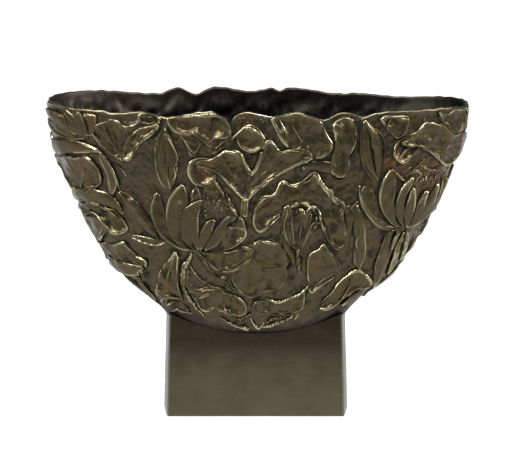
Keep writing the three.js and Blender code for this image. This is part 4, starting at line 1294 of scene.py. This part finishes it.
# %% Relief castings
BACK = 2 * SHEET_QUARTER


def lay_on_bowl(sheet, shift):
    """Wraps the sheet round the bowl. On the back the tops move with the rim, which differs there."""
    wrapped = sheet + np.array([shift, 0, 0])
    move = rim_height(wrapped[:, 0]) - rim_height(sheet[:, 0])
    wrapped[:, 1] += move * soft_step(262, 292, sheet[:, 1])
    wrapped[:, 1] = np.minimum(wrapped[:, 1], rim_height(wrapped[:, 0]) - 0.4)
    return on_bowl(wrapped)


for wax in waxes:
    flat = to_mesh(wax.bm, wax.name)
    sheet = points_of(flat)
    painted = patina(sheet)
    for side, shift in (("front", 0.0), ("back", BACK)):
        mesh = flat.copy()
        mesh.name = f"{side}_{wax.name}_cast"
        set_points(mesh, lay_on_bowl(sheet, shift))
        give_attribute(mesh, "patina", "FLOAT_COLOR", painted)
        node = f"{side}_{wax.name}"
        nodes = [node] if node in frame["nodes"] else []
        place_piece(mesh.name, mesh, "relief_bronze", nodes)
    bpy.data.meshes.remove(flat)
casts = [piece for piece in bpy.data.objects if piece.name.endswith("_cast")]
print(len(casts), "relief castings with", sum(len(cast.data.polygons) for cast in casts), "faces")

# %% [markdown]
# ## Bowl walls
# The wall is cast in a front half and a back half. Its ground, which shows between the leaves, is pebbled
# with a punch. At the top it rolls over into a thick lip. Inside it is lumpy, the way a casting is behind
# high relief. Each half is one grid whose rows run up the outside, over the lip and down the inside, so
# that it closes on itself along the bottom, and the two ends are then filled.

# %% Wall castings
HOLLOW = 19.0


def foot_arc(x):
    """The height of the foot's top edge across its front."""
    return FOOT_TOP - HOLLOW * np.clip(1 - (x / (FOOT_HALF_WIDTH - FOOT_FLARE)) ** 2, 0, 1)


WALL_STEP = 1.5
LIP_ROWS = 10
INSIDE_ROWS = 60
LIP_PROUD = 0.9
MELT = 0.5
GROUND_RISE = RELIEF_MAP.blurred(4.0) * MELT


def wall_half(name, middle, node):
    """Half of the bowl's wall. `middle` is the place of its own middle on the sheet."""
    rows_out = int((RIM - BOTTOM) / WALL_STEP)
    columns = int(BACK / WALL_STEP)
    rows = rows_out + LIP_ROWS + INSIDE_ROWS
    bm = bmesh.new()
    layer = bm.verts.layers.float_color.new("patina")
    dark = bm.verts.layers.float.new("inside")
    made = bmesh.ops.create_grid(bm, x_segments=columns, y_segments=rows, size=1)["verts"]
    grid = np.array([vert.co[:2] for vert in made])
    column = np.rint((grid[:, 0] + 1) / 2 * columns)
    row = np.rint((grid[:, 1] + 1) / 2 * rows)
    row = np.where(row == rows, 0, row)
    place = middle - SHEET_QUARTER + column / columns * BACK
    rim = rim_height(place)
    top = rim - LIP
    up = np.clip(row / (rows_out - 1), 0, 1)
    down = np.clip((row - rows_out - LIP_ROWS + 1) / INSIDE_ROWS, 0, 1)
    roll = np.clip((row - rows_out + 1) / LIP_ROWS, 0, 1) * math.pi
    is_out = row < rows_out
    is_lip = (row >= rows_out) & (row < rows_out + LIP_ROWS)
    over_lip = np.where(is_lip, top + LIP * np.sin(roll), top + (BOTTOM - top) * down)
    height = np.where(is_out, BOTTOM + (top - BOTTOM) * up, over_lip)
    flat = on_bowl(np.column_stack([place, height, np.zeros(len(place))]))
    ground = 0.45 * lumps(flat, 10, 21) + 0.34 * np.maximum(lumps(flat, 4.2, 22), -0.7)
    ground += 0.12 * lumps(flat, 2.4, 23)
    ground += RELIEF_MAP.read(np.column_stack([place - middle, height]), GROUND_RISE)
    near_top = soft_step(top - 5, top - 0.5, height)
    seam = foot_arc(flat[:, 0])
    fade = soft_step(seam - 2, seam + 7, height) * (1 - near_top)
    inner = -3.2 * np.abs(lumps(flat, 38, 31)) - 1.2 * lumps(flat, 12, 32) - 0.25 * lumps(flat, 5, 33)
    inner_fade = soft_step(0, 0.1, down) * soft_step(BOTTOM, BOTTOM + 8, height)
    past_lip = np.where(is_lip, LIP_PROUD - LIP + LIP * np.cos(roll), -WALL - 0.1 + inner * inner_fade)
    lift = np.where(is_out, ground * fade + LIP_PROUD * near_top, past_lip)
    sheet = np.column_stack([place, height, lift])
    for vert, point in zip(made, on_bowl(sheet)):
        vert.co = point
    painted = patina(sheet - np.array([middle, 0, 0]))
    # Rubbed brass along the top of the lip, which also stands in as a painted highlight from the light above.
    lip_wear_and_highlight = np.where(is_lip, soft_step(2.6, 1.4, roll), 0)
    rim_wear_and_highlight = np.where(is_out, soft_step(top - 1.6, top, height), lip_wear_and_highlight)
    painted[:, 0] = np.maximum(painted[:, 0] * np.where(is_out, 0.25, 0), 0.6 * rim_wear_and_highlight)
    # Painted shade: the wall is darkened in the crook just above its seam with the foot, and higher towards
    # the ends.
    seam_shade_reach = 12 + 5 * lumps(flat, 14, 41) + 9 * np.clip(np.abs(flat[:, 0]) / FOOT_HALF_WIDTH, 0, 1)
    shade = np.maximum(painted[:, 1], 0.7 * soft_step(seam + seam_shade_reach, seam + 1, height))
    painted[:, 1] = np.where(is_lip, 0, np.where(is_out, shade * (1 - near_top), 0.2))
    inside = np.where(is_out, 0, np.where(is_lip, soft_step(2.0, 3.0, roll), 1))
    for vert, paint, amount in zip(made, painted, inside):
        vert[layer] = paint
        vert[dark] = amount
    bmesh.ops.remove_doubles(bm, verts=bm.verts, dist=1e-4)
    bmesh.ops.holes_fill(bm, edges=[edge for edge in bm.edges if edge.is_boundary], sides=0)
    mesh = mesh_in_metres(bm, name)
    place_piece(name, mesh, "wall_bronze", [node], crease=60)
    print(name, len(mesh.polygons), "faces, rim from", round(rim.min()), "to", round(rim.max()), "mm")


wall_half("front_wall_cast", 0.0, "bowl_front_wall")
wall_half("back_wall_cast", BACK, "bowl_back_wall")


# %% [markdown]
# ## Bowl floor
# A plate closes the bowl at the top of the foot. It is as rough as the walls inside. A ball pressed flat
# gives a closed plate, and its edge follows the bowl's inner face.

# %% Floor plate
def bowl_floor():
    low, high = (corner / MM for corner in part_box("bowl_floor"))
    around = 160
    rows = 30
    rim_row = rows - 3
    bm = bmesh.new()
    made = bmesh.ops.create_uvsphere(bm, u_segments=around, v_segments=rows, radius=1)["verts"]
    ball = np.array([vert.co[:] for vert in made])
    row = np.rint(np.arccos(np.clip(ball[:, 2], -1, 1)) / math.pi * rows)
    turn = np.arctan2(ball[:, 1], ball[:, 0]) / (2 * math.pi)
    share = np.clip(row / rim_row, 0, 1)
    share = np.where(row == rows, 0, share)
    ones = np.ones(len(row))
    edge = on_bowl(np.column_stack([turn * SHEET_ROUND, ones * high.z, ones * (-WALL - 0.4)]))
    flat = edge * share[:, None]
    top = high.z + 0.4 * lumps(flat[:, :2], 16, 41) * (1 - share**4)
    flat[:, 2] = np.where(row <= rim_row, top, low.z)
    for vert, point in zip(made, flat):
        vert.co = point
    mesh = mesh_in_metres(bm, "bowl_floor_cast")
    give_attribute(mesh, "inside", "FLOAT", np.ones(len(mesh.vertices)))
    place_piece("bowl_floor_cast", mesh, "wall_bronze", ["bowl_floor"], crease=50)
    print("bowl floor", len(mesh.polygons), "faces")


bowl_floor()

# %% [markdown]
# ## Foot
# Four plates make the foot. The front and back ones are flat, and their top edge is hollowed to the bowl.
# The two ends bow outwards and spread towards the floor. The corners are crisp, with the sharpness just
# taken off. A plate is one grid that goes up its outer face and down its inner face, like the walls.

# %% Foot plates
PLATE = 3.0
BOW = end_high.x - FOOT_HALF_WIDTH
SOFT_CORNER = 0.7


def half_width(height):
    """Half the width of the foot between its corners."""
    drop = (FOOT_TOP - height) / (FOOT_TOP - FOOT_BASE)
    return FOOT_HALF_WIDTH - FOOT_FLARE + FOOT_FLARE * drop


def slab(name, columns, rows, skin, node):
    """A closed plate: skin(across, height share, depth) gives a point, at depth 0 outside and 1 inside."""
    loop = 2 * rows + 2
    bm = bmesh.new()
    layer = bm.verts.layers.float.new("edge")
    made = bmesh.ops.create_grid(bm, x_segments=columns, y_segments=loop, size=1)["verts"]
    grid = np.array([vert.co[:2] for vert in made])
    across = grid[:, 0]
    row = np.rint((grid[:, 1] + 1) / 2 * loop).astype(int) % loop
    inner = row > rows
    up = np.where(inner, 2 * rows + 1 - row, row) / rows
    for vert, point in zip(made, skin(across, up, inner.astype(float))):
        vert.co = point
    rounded = np.maximum(soft_step(0.985, 1.0, np.abs(across)), soft_step(0.02, 0.0, up)) * (1 - inner)
    for vert, amount in zip(made, rounded):
        vert[layer] = amount * 0.8
    bmesh.ops.remove_doubles(bm, verts=bm.verts, dist=1e-4)
    bmesh.ops.holes_fill(bm, edges=[edge for edge in bm.edges if edge.is_boundary], sides=0)
    mesh = mesh_in_metres(bm, name)
    place_piece(name, mesh, "foot_bronze", [node], crease=45)
    print(name, len(mesh.polygons), "faces")


def face_plate(side):
    """The skin of the front plate (side -1) or the back plate (side 1)."""
    def skin(across, up, depth):
        top = foot_arc(across * (FOOT_HALF_WIDTH - FOOT_FLARE)) + 1.0
        height = FOOT_BASE + (top - FOOT_BASE) * up
        x = across * (half_width(height) - 0.15)
        corner = SOFT_CORNER * soft_step(half_width(height) - 1.2, half_width(height), np.abs(x)) ** 2
        y = FOOT_HALF_DEPTH - PLATE * depth - corner * (1 - depth)
        y -= 0.12 * (1 + lumps(np.column_stack([x, height]), 45, 51)) * (1 - depth)
        return np.column_stack([-side * x, side * y, height])
    return skin


def end_plate(side):
    """The skin of the left end (side -1) or the right end (side 1)."""
    def skin(across, up, depth):
        height = FOOT_BASE + (FOOT_TOP - 1.0 - FOOT_BASE) * up
        y = across * FOOT_HALF_DEPTH
        corner = SOFT_CORNER * soft_step(FOOT_HALF_DEPTH - 1.2, FOOT_HALF_DEPTH, np.abs(y)) ** 2
        x = half_width(height) + BOW * (1 - across**2) - PLATE * depth - corner * (1 - depth)
        return np.column_stack([side * x, side * y, height])
    return skin


FOOT_ROWS = 60
slab("foot_front_face", 110, FOOT_ROWS, face_plate(-1), "foot_front_plate")
slab("foot_back_face", 110, FOOT_ROWS, face_plate(1), "foot_back_plate")
slab("foot_left_bow", 70, FOOT_ROWS, end_plate(-1), "foot_left_end")
slab("foot_right_bow", 70, FOOT_ROWS, end_plate(1), "foot_right_end")


# %% [markdown]
# ## Underneath
# A plate closes the foot just above its lower edge, and a felt pad sits at each corner of it. These are a
# plain box and plain discs with their edges bevelled.

# %% Base plate and pads
BASE_CLEARANCE = 0.012


def base_plate():
    low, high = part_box("foot_base_plate")
    bm = bmesh.new()
    bmesh.ops.create_cube(bm, size=1)
    bmesh.ops.scale(bm, vec=high - low - Vector((BASE_CLEARANCE, 0, 0)), verts=bm.verts)
    bmesh.ops.translate(bm, vec=(high + low) / 2, verts=bm.verts)
    bmesh.ops.bevel(bm, geom=bm.edges[:], offset=0.0005, segments=2, profile=0.5, affect="EDGES", material=-1)
    place_piece("foot_base", to_mesh(bm, "foot_base"), "foot_bronze", ["foot_base_plate"], crease=40)
    print("base plate", round(1000 * (high.x - low.x - BASE_CLEARANCE)), "mm long")


def felt_pad(corner):
    node = f"felt_pad_{corner}"
    low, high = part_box(node)
    bm = bmesh.new()
    radius = (high.x - low.x) / 2
    thick = high.z - low.z
    bmesh.ops.create_cone(bm, cap_ends=True, segments=48, radius1=radius, radius2=radius, depth=thick)
    bmesh.ops.translate(bm, vec=(high + low) / 2, verts=bm.verts)
    rims = [edge for edge in bm.edges if abs(edge.verts[0].co.z - edge.verts[1].co.z) < 1e-6]
    bmesh.ops.bevel(bm, geom=rims, offset=0.0004, segments=3, profile=0.5, affect="EDGES", material=-1)
    place_piece(f"{corner}_pad", to_mesh(bm, f"{corner}_pad"), "felt", [node], crease=40)
    print(corner, "pad", round(2000 * radius, 1), "mm across")


base_plate()
for corner in ("front_left", "front_right", "back_left", "back_right"):
    felt_pad(corner)

# %% [markdown]
# ## Studio
# The planter stands on a plain white floor under two soft boxes and one long strip above. The floor glows a
# little, so that it stays even and pale, and the glow fades towards the camera, because bronze is a mirror
# of what lies in front of it and would turn flat and grey over a bright floor.

# %% Floor, lights and world
FLOOR_HALF = 15


def studio():
    bm = bmesh.new()
    bmesh.ops.create_grid(bm, x_segments=1, y_segments=1, size=FLOOR_HALF)
    mesh = bpy.data.meshes.new("floor")
    bm.to_mesh(mesh)
    bm.free()
    floor = bpy.data.objects.new("floor", mesh)
    bpy.context.scene.collection.objects.link(floor)
    draw = new_material("floor_white")
    place = {0: draw.make("ShaderNodeTexCoord", output="Object")}
    glow = draw.make("ShaderNodeSeparateXYZ", inputs=place, output=1).between(-0.75, -0.2)
    glow = glow.blend(colour(0.42, 0.42, 0.42), colour(1, 1, 1))
    finish_material(draw, {"Base Color": colour(0.25, 0.25, 0.25), "Roughness": 0.9,
                           "Emission Color": glow, "Emission Strength": 0.92})
    mesh.materials.append(MATERIALS["floor_white"])
    world = bpy.data.worlds.new("studio")
    world.use_nodes = True
    world.node_tree.nodes["Background"].inputs["Color"].default_value = colour(1, 1, 1)
    world.node_tree.nodes["Background"].inputs["Strength"].default_value = 0.25
    bpy.context.scene.world = world
    print("floor", 2 * FLOOR_HALF, "m square")


AIM = Vector((0, 0, 0.2))


def soft_box(name, place, wide, tall, watts):
    """A soft light at a place, turned towards the middle of the planter."""
    lamp = bpy.data.lights.new(name, "AREA")
    lamp.shape = "RECTANGLE"
    lamp.size = wide
    lamp.size_y = tall
    lamp.energy = watts
    box = bpy.data.objects.new(name, lamp)
    box.location = place
    box.rotation_euler = (AIM - Vector(place)).to_track_quat("-Z", "Y").to_euler()
    bpy.context.scene.collection.objects.link(box)
    print(name, watts, "W")


studio()
soft_box("left_box", (-1.3, -1.0, 1.3), 0.4, 0.7, 60)
soft_box("right_box", (1.5, -0.6, 1.1), 0.3, 0.7, 42)
soft_box("top_strip", (0, -0.5, 1.6), 1.2, 0.25, 40)

# %% [markdown]
# ## Camera
# A long lens from a little above the rim keeps the planter's sides nearly straight and still shows the
# inside of the back wall.

# %% Camera
lens = bpy.data.cameras.new("camera")
lens.lens = 143.2
lens.sensor_width = 36.0
camera = bpy.data.objects.new("camera", lens)
camera.location = (0.0003, -1.90, 0.572)
camera.rotation_euler = (math.radians(78), 0, 0)
bpy.context.scene.collection.objects.link(camera)
bpy.context.scene.camera = camera
bpy.context.scene.view_settings.view_transform = "Standard"
print("camera", round(camera.location.length, 2), "m from the foot, with a", round(lens.lens), "mm lens")
